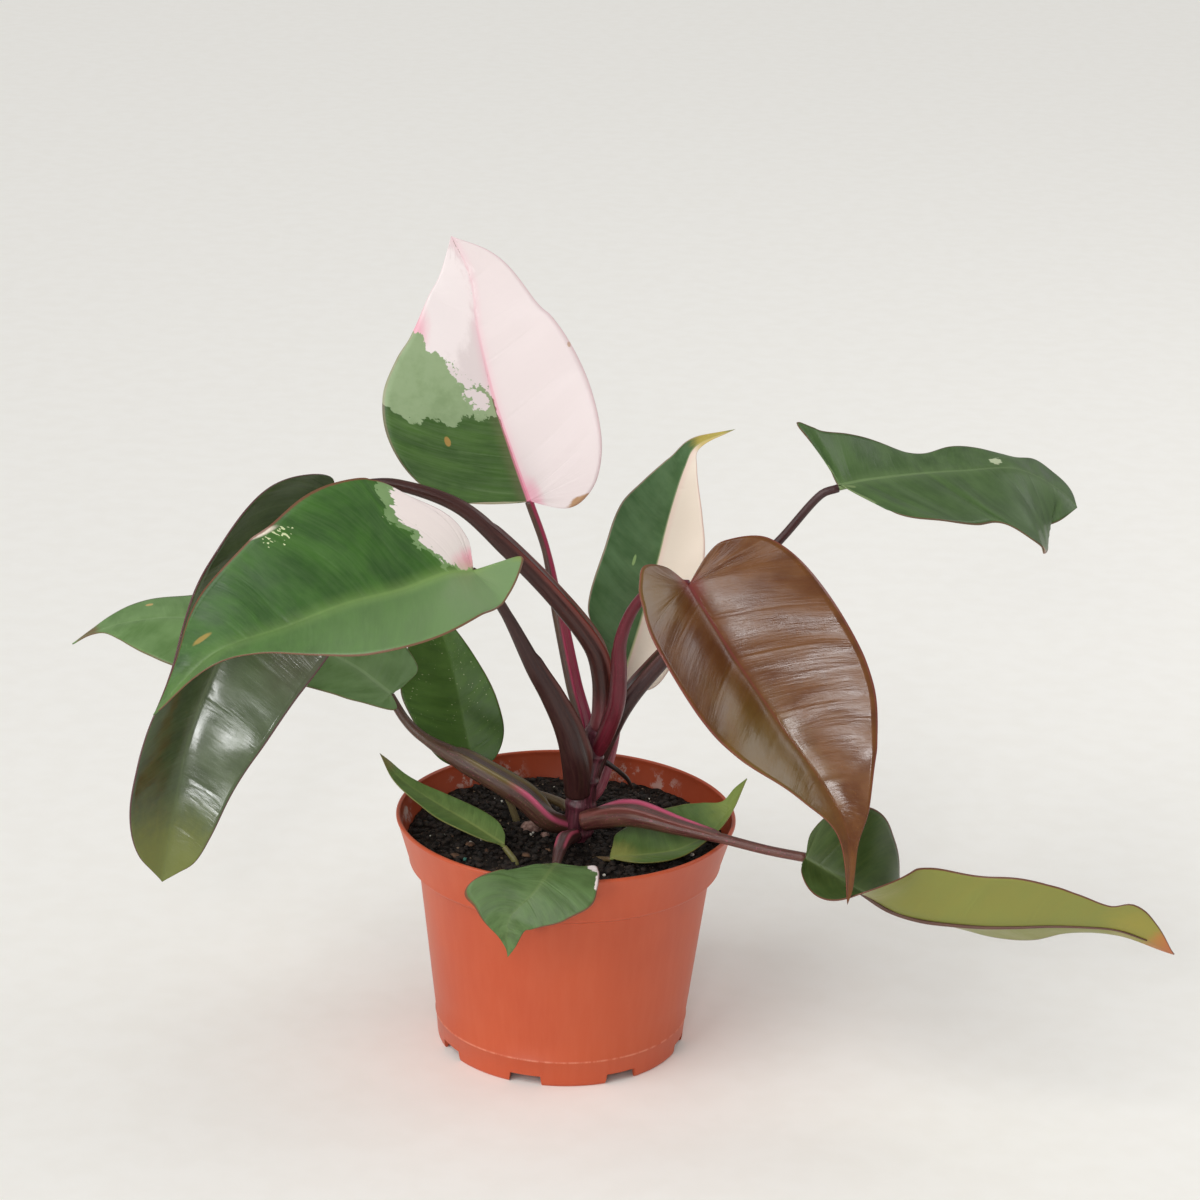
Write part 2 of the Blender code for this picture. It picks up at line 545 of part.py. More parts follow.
def main():
    clear_scene()
    parts = bpy.data.collections.new("pink_princess_philodendron")
    cutters = bpy.data.collections.new("cutters")
    for collection in (parts, cutters):
        bpy.context.scene.collection.children.link(collection)
    terracotta = plain_material("terracotta_plastic", (0.62, 0.13, 0.05), 0.45)
    peat = plain_material("peat", (0.02, 0.013, 0.01), 0.95)
    maroon = plain_material("maroon_stem", (0.07, 0.018, 0.022), 0.4)
    crimson = plain_material("crimson_petiole", (0.2, 0.015, 0.03), 0.35)
    green = plain_material("green_blade", (0.05, 0.14, 0.045), 0.35)
    pink = plain_material("pink_blade", (0.85, 0.6, 0.62), 0.45)
    bronze = plain_material("bronze_blade", (0.17, 0.075, 0.03), 0.25)
    dry = plain_material("dry_petiole", (0.3, 0.25, 0.15), 0.8)
    blade_materials = {"pink_upright": pink, "bronze_right": bronze, "cream_rear": pink}

    make_pot(parts, cutters, terracotta)
    soil = make_soil(parts, peat)

    new_object("main_stem", tube_mesh("main_stem", STEM["points"], STEM["radii"], 12, 14), parts, maroon)
    room_points = [(4, -4, 82)] + STEM["points"][1:-1] + [(15.3, 0.3, 155.5)]
    stem_room = tube_room("main_stem", room_points, STEM["radii"], 12, 14, cutters)
    cut(soil, stem_room)

    for name, leaf in LEAVES.items():
        small = name in SMALL_LEAVES
        make_blade("blade_" + name, leaf, small, parts, blade_materials.get(name, green))
        room = make_blade("room_" + name, leaf, small, cutters, None, BLADE_ROOM, BLADE_ROOM_REACH)
        room.hide_render = True
        room.display_type = "WIRE"
        petiole_name = "petiole_" + name
        sides, count = (6, 8) if small else (8, 14)
        mesh = tube_mesh(petiole_name, leaf["petiole"], leaf["radii"], sides, count)
        petiole = new_object(petiole_name, mesh, parts, crimson if name == "bronze_right" else maroon)
        cut(petiole, stem_room)
        cut(petiole, room)
        if name in ROOTED_LEAVES:
            cut(soil, tube_room(petiole_name, leaf["petiole"], leaf["radii"], sides, count, cutters))

    thin_parts = {
        "aerial_root": ([(13, 2, 132), (19, 4, 128), (26, 7, 121), (29, 9, 115)], [1.3, 1.2, 1.0, 0.5]),
        "dry_petiole_left": ([(-22, 15, 86), (-22, 15, 95), (-28, 14, 110)], [1.6, 1.8, 0.8]),
        "dry_petiole_right": ([(-13, 17, 86), (-13, 17, 95), (-21, 17, 108)], [1.6, 1.8, 0.8]),
    }
    for name, (points, radii) in thin_parts.items():
        piece = new_object(name, tube_mesh(name, points, radii, 6, 6), parts, dry)
        if name == "aerial_root":
            cut(piece, stem_room)
        else:
            cut(soil, tube_room(name, points, radii, 6, 6, cutters))


main()
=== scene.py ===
import math

import bmesh
import bpy
import numpy as np
from mathutils import Matrix, Vector, noise


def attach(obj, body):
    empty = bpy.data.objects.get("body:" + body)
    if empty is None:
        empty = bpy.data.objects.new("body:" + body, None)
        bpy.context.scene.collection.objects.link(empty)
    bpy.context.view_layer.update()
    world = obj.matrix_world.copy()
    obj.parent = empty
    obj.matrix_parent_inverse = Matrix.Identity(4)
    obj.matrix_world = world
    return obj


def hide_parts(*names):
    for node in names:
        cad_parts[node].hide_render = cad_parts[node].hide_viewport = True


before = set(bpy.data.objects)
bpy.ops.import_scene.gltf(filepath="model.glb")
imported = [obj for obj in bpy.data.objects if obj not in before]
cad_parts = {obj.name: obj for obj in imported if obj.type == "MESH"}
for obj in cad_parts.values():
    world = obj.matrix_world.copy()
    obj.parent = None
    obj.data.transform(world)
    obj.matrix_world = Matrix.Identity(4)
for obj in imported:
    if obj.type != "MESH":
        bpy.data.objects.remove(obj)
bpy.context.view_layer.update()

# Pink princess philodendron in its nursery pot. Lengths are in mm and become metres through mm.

mm = 0.001
scene = bpy.context.scene
scene.view_settings.view_transform = "Standard"  # leaf and pot colours come out as they were picked


def hexColor(code):
    # sRGB hex to the linear RGBA that a socket takes
    values = [int(code[i:i + 2], 16) / 255 for i in (1, 3, 5)]
    return (*[v / 12.92 if v <= 0.04045 else ((v + 0.055) / 1.055) ** 2.4 for v in values], 1.0)


def addNode(tree, kind, settings, out=0):
    # a key is a socket's label or place, or a property of the node; another node's output becomes a link
    node = tree.nodes.new(kind)
    for key, value in settings.items():
        if not isinstance(key, int) and key not in node.inputs:
            setattr(node, key, value)
        elif isinstance(value, bpy.types.NodeSocket):
            tree.links.new(value, node.inputs[key])
        else:
            node.inputs[key].default_value = value
    return node.outputs[out]


def newMaterial(name):
    material = bpy.data.materials.new(name)
    material.use_nodes = True
    tree = material.node_tree
    return material, tree, tree.nodes["Principled BSDF"]


def setShader(tree, shader, settings):
    for key, value in settings.items():
        if isinstance(value, bpy.types.NodeSocket):
            tree.links.new(value, shader.inputs[key])
        else:
            shader.inputs[key].default_value = value


# settings that many nodes share: a colour mix takes its factor at 0 and its colours at 6 and 7
colours = {"data_type": "RGBA"}
smooth = {"interpolation_type": "SMOOTHSTEP"}


# Curves through points, and the frames that ride along them

def smoothCurve(points, where):
    # a Hermite curve through the points, whose knots keep it from overshooting where they lie close
    points = np.asarray(points, float)
    chords = np.linalg.norm(np.diff(points, axis=0), axis=1) ** 0.5
    knots = np.concatenate([[0], np.cumsum(chords)])
    knots /= knots[-1]
    last = len(points) - 1
    tangents = []
    for i in range(last + 1):
        low, high = max(i - 1, 0), min(i + 1, last)
        tangents.append((points[high] - points[low]) / (knots[high] - knots[low]))
    tangents = np.array(tangents)
    where = np.clip(np.asarray(where, float), 0, 1)
    i = np.clip(np.searchsorted(knots, where, side="right") - 1, 0, last - 1)
    span = knots[i + 1] - knots[i]
    f = ((where - knots[i]) / span)[..., None]
    span = span[..., None]
    return (
        (2 * f**3 - 3 * f**2 + 1) * points[i]
        + (f**3 - 2 * f**2 + f) * span * tangents[i]
        + (3 * f**2 - 2 * f**3) * points[i + 1]
        + (f**3 - f**2) * span * tangents[i + 1]
    )


def evenly(points, count):
    # points at even steps along the curve, and its length
    fine = smoothCurve(points, np.linspace(0, 1, 400))
    along = np.concatenate([[0], np.cumsum(np.linalg.norm(np.diff(fine, axis=0), axis=1))])
    wanted = np.linspace(0, along[-1], count)
    return np.stack([np.interp(wanted, along, fine[:, k]) for k in range(fine.shape[1])], axis=1), along[-1]


def unit(vectors):
    return vectors / np.linalg.norm(vectors, axis=-1, keepdims=True)


def signedDistance(polygon, points):
    # mm inside (+) or outside (-) a polygon on the flattened leaf
    x, y = points[..., 0], points[..., 1]
    nearest = np.full(x.shape, 1e9)
    inside = np.zeros(x.shape, bool)
    for (x1, y1), (x2, y2) in zip(polygon, polygon[1:] + polygon[:1]):
        dx, dy = x2 - x1, y2 - y1
        t = np.clip(((x - x1) * dx + (y - y1) * dy) / (dx * dx + dy * dy), 0, 1)
        nearest = np.minimum(nearest, np.hypot(x - x1 - t * dx, y - y1 - t * dy))
        crosses = (y1 > y) != (y2 > y)
        with np.errstate(divide="ignore", invalid="ignore"):
            inside ^= crosses & (x < x1 + (y - y1) * dx / dy)
    return np.where(inside, nearest, -nearest)


# Leaf blades. Each gives its rib from joint to tip, the way the upper face looks, how far each half folds
# up, the halves' outlines as (along the rib, out from it), and its patches of pale and sage green tissue.

leafGrid = {
    "stations": 130, "rows": 18, "rowCrowding": 1.3, "ribSamples": 120, "thickness": 0.6,
    # side veins: how they sweep forward, round off by the joint and bow on their way out
    "veinSweep": 0.45, "jointRound": 6.0, "jointShift": 3.0, "veinBow": 0.55, "veinBend": 0.35,
    # the valley along the rib: width of the soft crease, and the groove's depth and width
    "crease": 4.5, "grooveDepth": 0.25, "grooveWidth": 1.4,
}

leaves = {
    "pink_upright": {
        "rib": [(-20, 22, 243), (-28, 32, 261), (-37, 44, 283), (-45, 56, 310), (-49, 66, 331), (-58, 72, 348)],
        "face": [(0, -0.9, 0.43), (0.05, -0.93, 0.36), (0.05, -0.97, 0.2)],
        "fold": ((14, 14, 10, 8), (20, 20, 16, 12)),
        "left": [(4, 15), (9, 31), (21, 44), (41, 51), (59, 48), (73, 38), (85, 26), (106, 15)],
        "right": [(-9, 14), (-9, 23), (-2, 33), (14, 41), (41, 43), (68, 38), (91, 26), (109, 13)],
        "back": 5, "wave": 0.8, "waves": 3.2, "veins": 9, "pleat": 0.2,
        "pale": {
            "left": [[(49, -2), (52, 3), (60, 12), (68, 17), (74, 22), (79, 26), (81, 33), (80, 60), (150, 60),
                      (150, -2)], [(58, 14), (50, 3), (43, 3), (45, 10)]],
            "right": [[(-40, -2), (150, -2), (150, 70), (-40, 70)]],
        },
        "sage": {
            "left": [[(38, -2), (39, 3), (40, 7), (44, 13), (42, 20), (44, 31), (47, 37), (50, 43), (56, 50),
                      (60, 70), (150, 70), (150, -2)]],
        },
        "marks": [(35, -26, 2.2, 1.3, "#B08A4A", 0.9, 0.3), (-10, 23, 3.4, 7, "#A97F55", 0.95, 0.3),
                  (62, 39, 1.3, 0.8, "#B5906A", 0.7, 0.4), (77, 35, 1.5, 0.7, "#B5906A", 0.7, 0.4)],
        "blushed": [(100, -19, 34, 19, "#F3E8E7", 0.9, 0.3), (84, -30, 9, 7, "#EE9DB2", 0.75, 1.3),
                    (0, 2, 9, 4, "#E88FAA", 0.55, 1.3)],
        "look": "variegated",
    },
    "green_front": {
        "rib": [(-41, -45, 233), (-52, -50, 233), (-70, -58, 228), (-92, -66, 224), (-116, -74, 216),
                (-145, -82, 206), (-169, -86, 180)],
        "face": [(0, -0.62, 0.78), (0, -0.62, 0.78), (-0.3, -0.6, 0.7)],
        "fold": ((30, 25, 20, 45), (31, 31, 31, 25)),
        "left": [(-12, 4), (-20, 8), (-17, 15), (-6, 28), (10, 39), (34, 44), (57, 39), (77, 26), (97, 12),
                 (120, 6)],
        "right": [(0, 11), (4, 18), (16, 35), (26, 46), (51, 49), (73, 41), (89, 37), (106, 26), (124, 10)],
        "back": -42, "wave": 0.9, "waves": 3.5, "veins": 9, "pleat": 0.25,
        "pale": {"right": [[(-30, 3), (-2, 1), (5, 1), (11, 4), (14, 11), (17, 16), (20, 24), (23, 29), (22, 38),
                            (17, 60), (-30, 60)]]},
        "sage": {"right": [[(-30, 0), (4, -1), (12, 3), (17, 11), (21, 20), (27, 28), (28, 40), (22, 60),
                            (-30, 60)]]},
        "speckled": [(72, 36, 13, 6)],
        "marks": [(81, 39.5, 9, 1.5, "#EBDCCB", 0.85, 0.6), (115, 8, 3.5, 0.9, "#A98B42", 0.8, 0.6),
                  (-21, -8, 4, 4, "#8C9A3E", 0.5, 1.2)],
        "blushed": [(-2, 4, 8, 5, "#E995A8", 0.85, 1.3)],
        "look": "greenPale",
    },
    "dark_left": {
        "rib": [(-102, -5, 253), (-120, -14, 236), (-134, -22, 213), (-149, -30, 184), (-161, -36, 152),
                (-168, -40, 117), (-173, -42, 86)],
        "face": [(0.25, -0.8, 0.5), (0.25, -0.9, 0.3), (0.1, -0.95, 0.2)],
        "fold": ((20, 20, 20, 15), (40, 40, 38, 25)),
        "left": [(-12, 14), (-10, 30), (10, 41), (40, 43), (64, 41), (90, 37), (116, 32), (146, 23), (165, 18),
                 (178, 13), (185, 6)],
        "right": [(-3, 7), (4, 16), (22, 27), (47, 33), (80, 29), (110, 23), (134, 25), (151, 24), (167, 19),
                  (178, 13), (185, 6)],
        "back": 10, "wave": 1.2, "waves": 4.0, "veins": 9, "pleat": 0.3,
        "marks": [(182, 0, 22, 30, "#6F7530", 0.85, 1.4), (95, 9, 2, 1, "#B9B08A", 0.8, 0.4),
                  (60, -30, 25, 14, "#4A3A2C", 0.4, 1.4)],
        "look": "darkGlossy",
    },
    "far_left": {
        "rib": [(-78, 5, 158), (-97, 10, 170), (-123, 14, 179), (-168, 20, 185), (-195, 24, 181),
                (-213, 26, 174), (-221, 26, 169)],
        "face": [(0, -0.3, 0.95), (0, -0.3, 0.95), (-0.2, -0.2, 0.95)],
        "fold": ((0, -8, -8, 0), (0, -4, -4, 0)),
        "left": [(-6, 6), (6, 14), (16, 19), (40, 24), (70, 30), (96, 30), (112, 24), (128, 11), (139, 2)],
        "right": [(-2, 10), (0, 24), (30, 32), (70, 30), (100, 20), (120, 17), (136, 9), (146, 2)],
        "back": 0, "wave": 0.9, "waves": 3.5, "veins": 9, "pleat": 0.3,
        "marks": [(145, 0, 5, 6, "#6E5236", 0.9, 0.8), (118, 12, 1.6, 1.0, "#C9A36A", 0.8, 0.4)],
        "look": "sageGreen",
    },
    "rear_left": {
        "rib": [(-42, 32, 113.5), (-47, 38, 131), (-52, 44, 151.5), (-58, 50, 169), (-64, 54, 184)],
        "face": [(0.1, -0.95, 0.3)] * 3,
        "fold": ((15, 15, 12, 10), (15, 15, 12, 10)),
        "left": [(1, 6), (9, 16), (29, 24), (42, 26), (57, 20), (69, 9)],
        "right": [(2, 10), (13, 17), (29, 17), (46, 12), (61, 7)],
        "back": 0, "wave": 0.5, "waves": 2.5, "veins": 7, "pleat": 0.15,
        "marks": [(50, 17, 3, 1.6, "#B98B5A", 0.9, 0.4)],
        "look": "fleckedGreen",
    },
    "small_left": {
        "rib": [(-26, -30, 103), (-42, -20, 109), (-57, -9, 113), (-73, 0, 120), (-83, 5, 130)],
        "face": [(-0.1, -0.3, 0.94), (-0.2, -0.3, 0.93), (-0.4, -0.3, 0.85)],
        "fold": ((15, 15, 12, 10), (15, 15, 12, 10)),
        "left": [(9, 5), (24, 8), (45, 6), (61, 3)],
        "right": [(4, 5), (12, 8), (30, 7), (52, 4), (66, 2)],
        "back": 0, "wave": 0.3, "waves": 2.0, "veins": 6, "pleat": 0.1,
        "marks": [(72, 0, 7, 5, "#6A4A2A", 0.7, 0.9)],
        "look": "youngGreen",
    },
    "small_front": {
        "rib": [(-3, -66, 111), (-6, -74, 110), (-12, -81, 103.5), (-22, -86, 93), (-22, -88, 77)],
        "face": [(0, -0.5, 0.85), (-0.1, -0.8, 0.6), (-0.1, -0.95, 0.2)],
        "fold": ((10, 10, 10, 10), (10, 10, 10, 10)),
        "left": [(-1, 11), (-3, 17), (5, 21), (13, 25), (20, 20), (28, 13), (45, 5)],
        "right": [(6, 4), (13, 10), (20, 15), (28, 19), (34, 22), (36, 14), (41, 5), (47, 1)],
        "back": 0, "wave": 0.5, "waves": 2.5, "veins": 6, "pleat": 0.25,
        "pale": {"left": [[(-8, 12), (-8, 26), (10, 26), (8, 21), (4, 19), (0, 14)]]},
        "look": "smallPale",
    },
    "small_right": {
        "rib": [(20, -31, 99.5), (35, -31, 101), (51, -26, 102.5), (66, -16, 109), (79, -2, 126)],
        "face": [(0, -0.2, 0.97), (0, -0.2, 0.97), (-0.5, -0.3, 0.8)],
        "fold": ((0, 2, 8, 10), (5, 5, 5, 10)),
        "left": [(1, 8), (3, 18), (18, 29), (32, 28), (51, 20), (58, 13), (63, 5), (71, 3)],
        "right": [(3, 3), (15, 7), (30, 6), (46, 3), (64, 2)],
        "back": 0, "wave": 0.3, "waves": 2.0, "veins": 6, "pleat": 0.1,
        "marks": [(2, 0, 8, 9, "#A9A55A", 0.6, 1.3), (66, 0, 12, 11, "#8E9C48", 0.6, 1.3)],
        "look": "youngGreen",
    },
    "low_right": {
        "rib": [(103, -50, 110), (127, -58, 99), (146, -64, 91), (178, -70, 90), (211, -76, 94), (237, -80, 94),
                (258, -80, 84)],
        "face": [(0, -0.95, 0.3), (0, 0.8, 0.6), (0, 0.7, 0.7)],
        "fold": ((20, 18, 14, 15), (55, 30, 15, 15)),
        "left": [(-3, 12), (2, 26), (15, 33), (33, 27), (50, 17), (68, 15), (85, 20), (101, 20), (118, 10),
                 (140, 8), (155, 4)],
        "right": [(2, 10), (13, 22), (30, 29), (54, 30), (77, 27), (100, 26), (122, 18), (134, 13), (141, 16),
                  (150, 10), (158, 5)],
        "back": 0, "wave": 0.5, "waves": 3.0, "veins": 9, "pleat": 0.15,
        "marks": [(160, 0, 8, 14, "#B8603E", 0.95, 0.7), (146, 0, 12, 14, "#A0913E", 0.5, 1.2)],
        "keel": ("#54352C", "#6B4A3A"),
        "look": "twisted",
    },
    "bronze_right": {
        "rib": [(49, -40, 228), (66, -50, 204), (87, -60, 177), (107, -72, 153), (118, -80, 134),
                (119, -86, 105)],
        "face": [(0.2, -0.85, 0.5), (0.2, -0.9, 0.35), (0.2, -0.95, 0.1)],
        "fold": ((15, 15, 15, 15), (35, 35, 32, 25)),
        "left": [(-7, 14), (-8, 23), (0, 38), (19, 46), (51, 47), (80, 41), (101, 26), (117, 12), (128, 4),
                 (147, 2)],
        "right": [(-11, 6), (-16, 18), (-11, 26), (-4, 32), (15, 40), (45, 39), (73, 31), (98, 17), (117, 7),
                  (139, 2)],
        "back": 10, "wave": 0.9, "waves": 3.0, "veins": 8, "pleat": 0.25,
        "marks": [(0, 0, 8, 5, "#7E3036", 0.5, 1.4), (82, 18, 34, 18, "#7A6A2A", 0.45, 1.4),
                  (-4, 24, 14, 14, "#79612C", 0.5, 1.4)],
        "look": "bronze",
    },
    "green_top_right": {
        "rib": [(113, 10, 258), (125, 16, 259), (149, 28, 259), (169, 38, 258), (194, 50, 256), (214, 58, 245),
                (223, 56, 237)],
        "face": [(0, -0.3, 0.95), (0, -0.3, 0.95), (0.5, -0.3, 0.8)],
        "fold": ((30, 6, -4, -10), (0, -6, -12, -20)),
        "left": [(-1, 12), (-5, 24), (-7, 33), (2, 28), (16, 25), (31, 21), (50, 15), (66, 18), (80, 17),
                 (95, 12), (109, 18), (118, 12)],
        "right": [(8, 5), (11, 22), (23, 33), (50, 36), (64, 35), (77, 45), (95, 46), (115, 34), (124, 20)],
        "back": 0, "wave": 0.9, "waves": 4.0, "veins": 10, "pleat": 0.5,
        "pale": {"left": [[(80, 3), (85, 3), (85, 8), (80, 7)]]},
        "marks": [(100, 45, 11, 2.6, "#B98B6A", 0.85, 0.5)],
        "look": "ridgedGreen",
    },
    "cream_rear": {
        "rib": [(22, 30, 154), (30, 37, 182), (37, 44, 209), (42, 50, 231), (48, 55, 251), (53, 58, 260),
                (70, 62, 267)],
        "face": [(0, -0.95, 0.3)] * 3,
        "fold": ((30, 30, 28, 25), (30, 30, 28, 25)),
        "left": [(10, 8), (20, 18), (33, 28), (63, 28), (80, 25), (93, 17), (108, 7), (119, 3)],
        "right": [(5, 15), (17, 21), (40, 24), (66, 22), (85, 16), (104, 6), (114, 2)],
        "back": 0, "wave": 0.5, "waves": 3.0, "veins": 8, "pleat": 0.25,
        "pale": {"right": [[(-10, -1), (150, -1), (150, 60), (-10, 60)]]},
        "marks": [(122, 0, 8, 9, "#C9B45A", 0.85, 0.8), (58, -12, 2.4, 0.8, "#9FBF7A", 0.8, 0.4)],
        "look": "creamHalf",
    },
}


def ribFrame(leaf):
    # along the rib: places, directions, the upper face's normal and the right hand side
    samples = leafGrid["ribSamples"]
    points, length = evenly(leaf["rib"], samples + 1)
    along = unit(np.gradient(points, axis=0))
    joint, middle, tip = (np.asarray(v, float) for v in leaf["face"])
    s = np.linspace(0, 1, samples + 1)[:, None]
    looks = joint * (1 - s) * (1 - 2 * s) + middle * 4 * s * (1 - s) + tip * s * (2 * s - 1)
    face = unit(looks - (looks * along).sum(axis=1, keepdims=True) * along)
    return {"points": points, "length": length, "along": along, "face": face, "right": np.cross(along, face)}


def ribFeet(edges, length):
    # where each side vein leaves the rib: the veins sweep forward
    share = np.linspace(0, 1, len(edges[0]))
    feet = []
    for edge in edges:
        reach = edge[:, 0] - leafGrid["veinSweep"] * edge[:, 1]
        rounded = 0.5 * (reach + np.sqrt(reach**2 + leafGrid["jointRound"]**2))
        feet.append(rounded - leafGrid["jointShift"] * (1 - share))
    feet = np.maximum.accumulate(np.clip(np.mean(feet, axis=0), 0, length))
    feet[0], feet[-1] = 0, length
    return feet


def bladeSurface(leaf):
    # places of the vertices, with their flat coordinates and their places along and across the veins
    stations, rows, samples = leafGrid["stations"], leafGrid["rows"], leafGrid["ribSamples"]
    ribs = ribFrame(leaf)
    length = ribs["length"]
    edges = [evenly([(0, 0), *leaf[key], (length, 0)], stations)[0] for key in ("left", "right")]
    feet = ribFeet(edges, length)
    share = np.linspace(0, 1, stations)
    places = np.zeros((stations, 2 * rows + 1, 3))
    flat = np.zeros((stations, 2 * rows + 1, 2))
    vein = np.zeros((stations, 2 * rows + 1, 2))
    for side, edge in zip((-1, 1), edges):
        # the side veins keep no even step, and each half has its own
        wander = share + 0.016 * np.sin(14.5 * share + side) + 0.009 * np.sin(32 * share + 2 * side)
        swell = leaf["pleat"] * (0.7 + 0.3 * np.sin(10.7 * share + 1 + side))
        for row in range(rows + 1):
            v = (row / rows) ** leafGrid["rowCrowding"]
            out = 2 * (1 - v) * v * leafGrid["veinBow"] * edge[:, 1] + v * v * edge[:, 1]
            bend = feet + leafGrid["veinBend"] * (edge[:, 0] - feet)
            along = (1 - v) ** 2 * feet + 2 * (1 - v) * v * bend + v * v * edge[:, 0]
            s = np.clip(along / length, 0, 1)
            step = s * samples
            i = np.minimum(step.astype(int), samples - 1)
            f = (step - i)[:, None]
            origin, forward, face, right = (
                ribs[key][i] * (1 - f) + ribs[key][i + 1] * f for key in ("points", "along", "face", "right")
            )
            behind = np.minimum(along, 0)[:, None]
            drop = math.radians(leaf["back"])
            origin = origin + behind * (forward * math.cos(drop) + face * math.sin(drop))
            folds = leaf["fold"][0 if side < 0 else 1]
            fold = np.radians(np.interp(s, np.linspace(0, 1, len(folds)), folds))[:, None]
            eased = (1 - np.exp(-out / leafGrid["crease"]))[:, None]  # the fold is a soft valley, not a hinge
            outward = side * right * np.cos(fold) + face * np.sin(fold) * eased
            normal = face * np.cos(fold) - side * right * np.sin(fold)
            groove = -leafGrid["grooveDepth"] * np.exp(-(out / leafGrid["grooveWidth"]) ** 2)
            pleat = -swell * np.cos(2 * np.pi * leaf["veins"] * wander) * math.sin(math.pi * v)
            ends = np.clip(4.5 * share * (1 - share), 0, 1)
            wave = leaf["wave"] * np.sin(2 * np.pi * (leaf["waves"] * share + 0.2 * side)) * v**3 * ends
            lift = (groove + pleat + wave) * ends
            column = rows + side * row
            places[:, column] = origin + out[:, None] * outward + lift[:, None] * normal
            flat[:, column] = np.stack([side * out, along], axis=1)
            vein[:, column] = np.stack([wander, np.full(stations, side * v)], axis=1)
    return places, flat, vein


def patchDistance(leaf, key, flat):
    # mm inside the nearest patch of that tissue, half by half
    result = np.full(flat.shape[:2], -60.0)
    for half, side in (("left", -1), ("right", 1)):
        here = (flat[..., 0] * side > 1e-6) | ((np.abs(flat[..., 0]) <= 1e-6) & (side > 0))
        points = np.stack([flat[..., 1], np.abs(flat[..., 0])], axis=-1)
        for polygon in leaf.get(key, {}).get(half, []):
            result = np.where(here, np.maximum(result, signedDistance(polygon, points)), result)
    return result


def newPiece(name, mesh, materials, replaced=None):
    # a visible piece that rides the root body; replaced names the CAD node that it stands for
    for material in materials:
        mesh.materials.append(material)
    mesh.shade_smooth()
    piece = bpy.data.objects.new(name, mesh)
    scene.collection.objects.link(piece)
    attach(piece, "root")
    if replaced:
        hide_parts(replaced)
    return piece


def gridMesh(name, places, layers, floats=None, mergeWithin=0.02, outward=False):
    # a plane of quads bent to the places, with a UV map for each layer
    stations, rows = places.shape[0], places.shape[1]
    bm = bmesh.new()
    bmesh.ops.create_grid(bm, x_segments=stations - 1, y_segments=rows - 1, size=0.5)
    spots = [(round((v.co.x + 0.5) * (stations - 1)), round((v.co.y + 0.5) * (rows - 1))) for v in bm.verts]
    bm.verts.index_update()
    for layerName, values in layers.items():
        layer = bm.loops.layers.uv.new(layerName)
        for face in bm.faces:
            for loop in face.loops:
                loop[layer].uv = values[spots[loop.vert.index]]
    for layerName, values in (floats or {}).items():
        layer = bm.verts.layers.float.new(layerName)
        for vert in bm.verts:
            vert[layer] = values[spots[vert.index]]
    for vert in bm.verts:
        vert.co = Vector(places[spots[vert.index]]) * mm
    bmesh.ops.remove_doubles(bm, verts=bm.verts, dist=mergeWithin * mm)
    if outward:
        bmesh.ops.recalc_face_normals(bm, faces=bm.faces)
    else:
        bmesh.ops.reverse_faces(bm, faces=bm.faces)
    mesh = bpy.data.meshes.new(name)
    bm.to_mesh(mesh)
    bm.free()
    return mesh


# Leaf looks. A philodendron leaf is smooth and waxy: a soft clear highlight broken by fine side veins.
# halfSheen gives how far each half leans to the sage tone as painted sheen, ribGlow the soft light band along the
# rib.

plainLook = {
    "sage": "#7F8F5A", "pale": "#E6DFC0", "blush": "#D8B5A8", "jag": 5.0, "flecks": 0.0, "ribWidth": 1.1,
    "edgeShows": 0.6, "halfSheen": (0.0, 0.0), "ribGlow": 0.25, "grain": 0.2, "veinShows": 0.1, "ribEnd": 0.35,
    "ribShows": 0.9, "shine": 0.38, "fleck": "#D9E0B0",
}

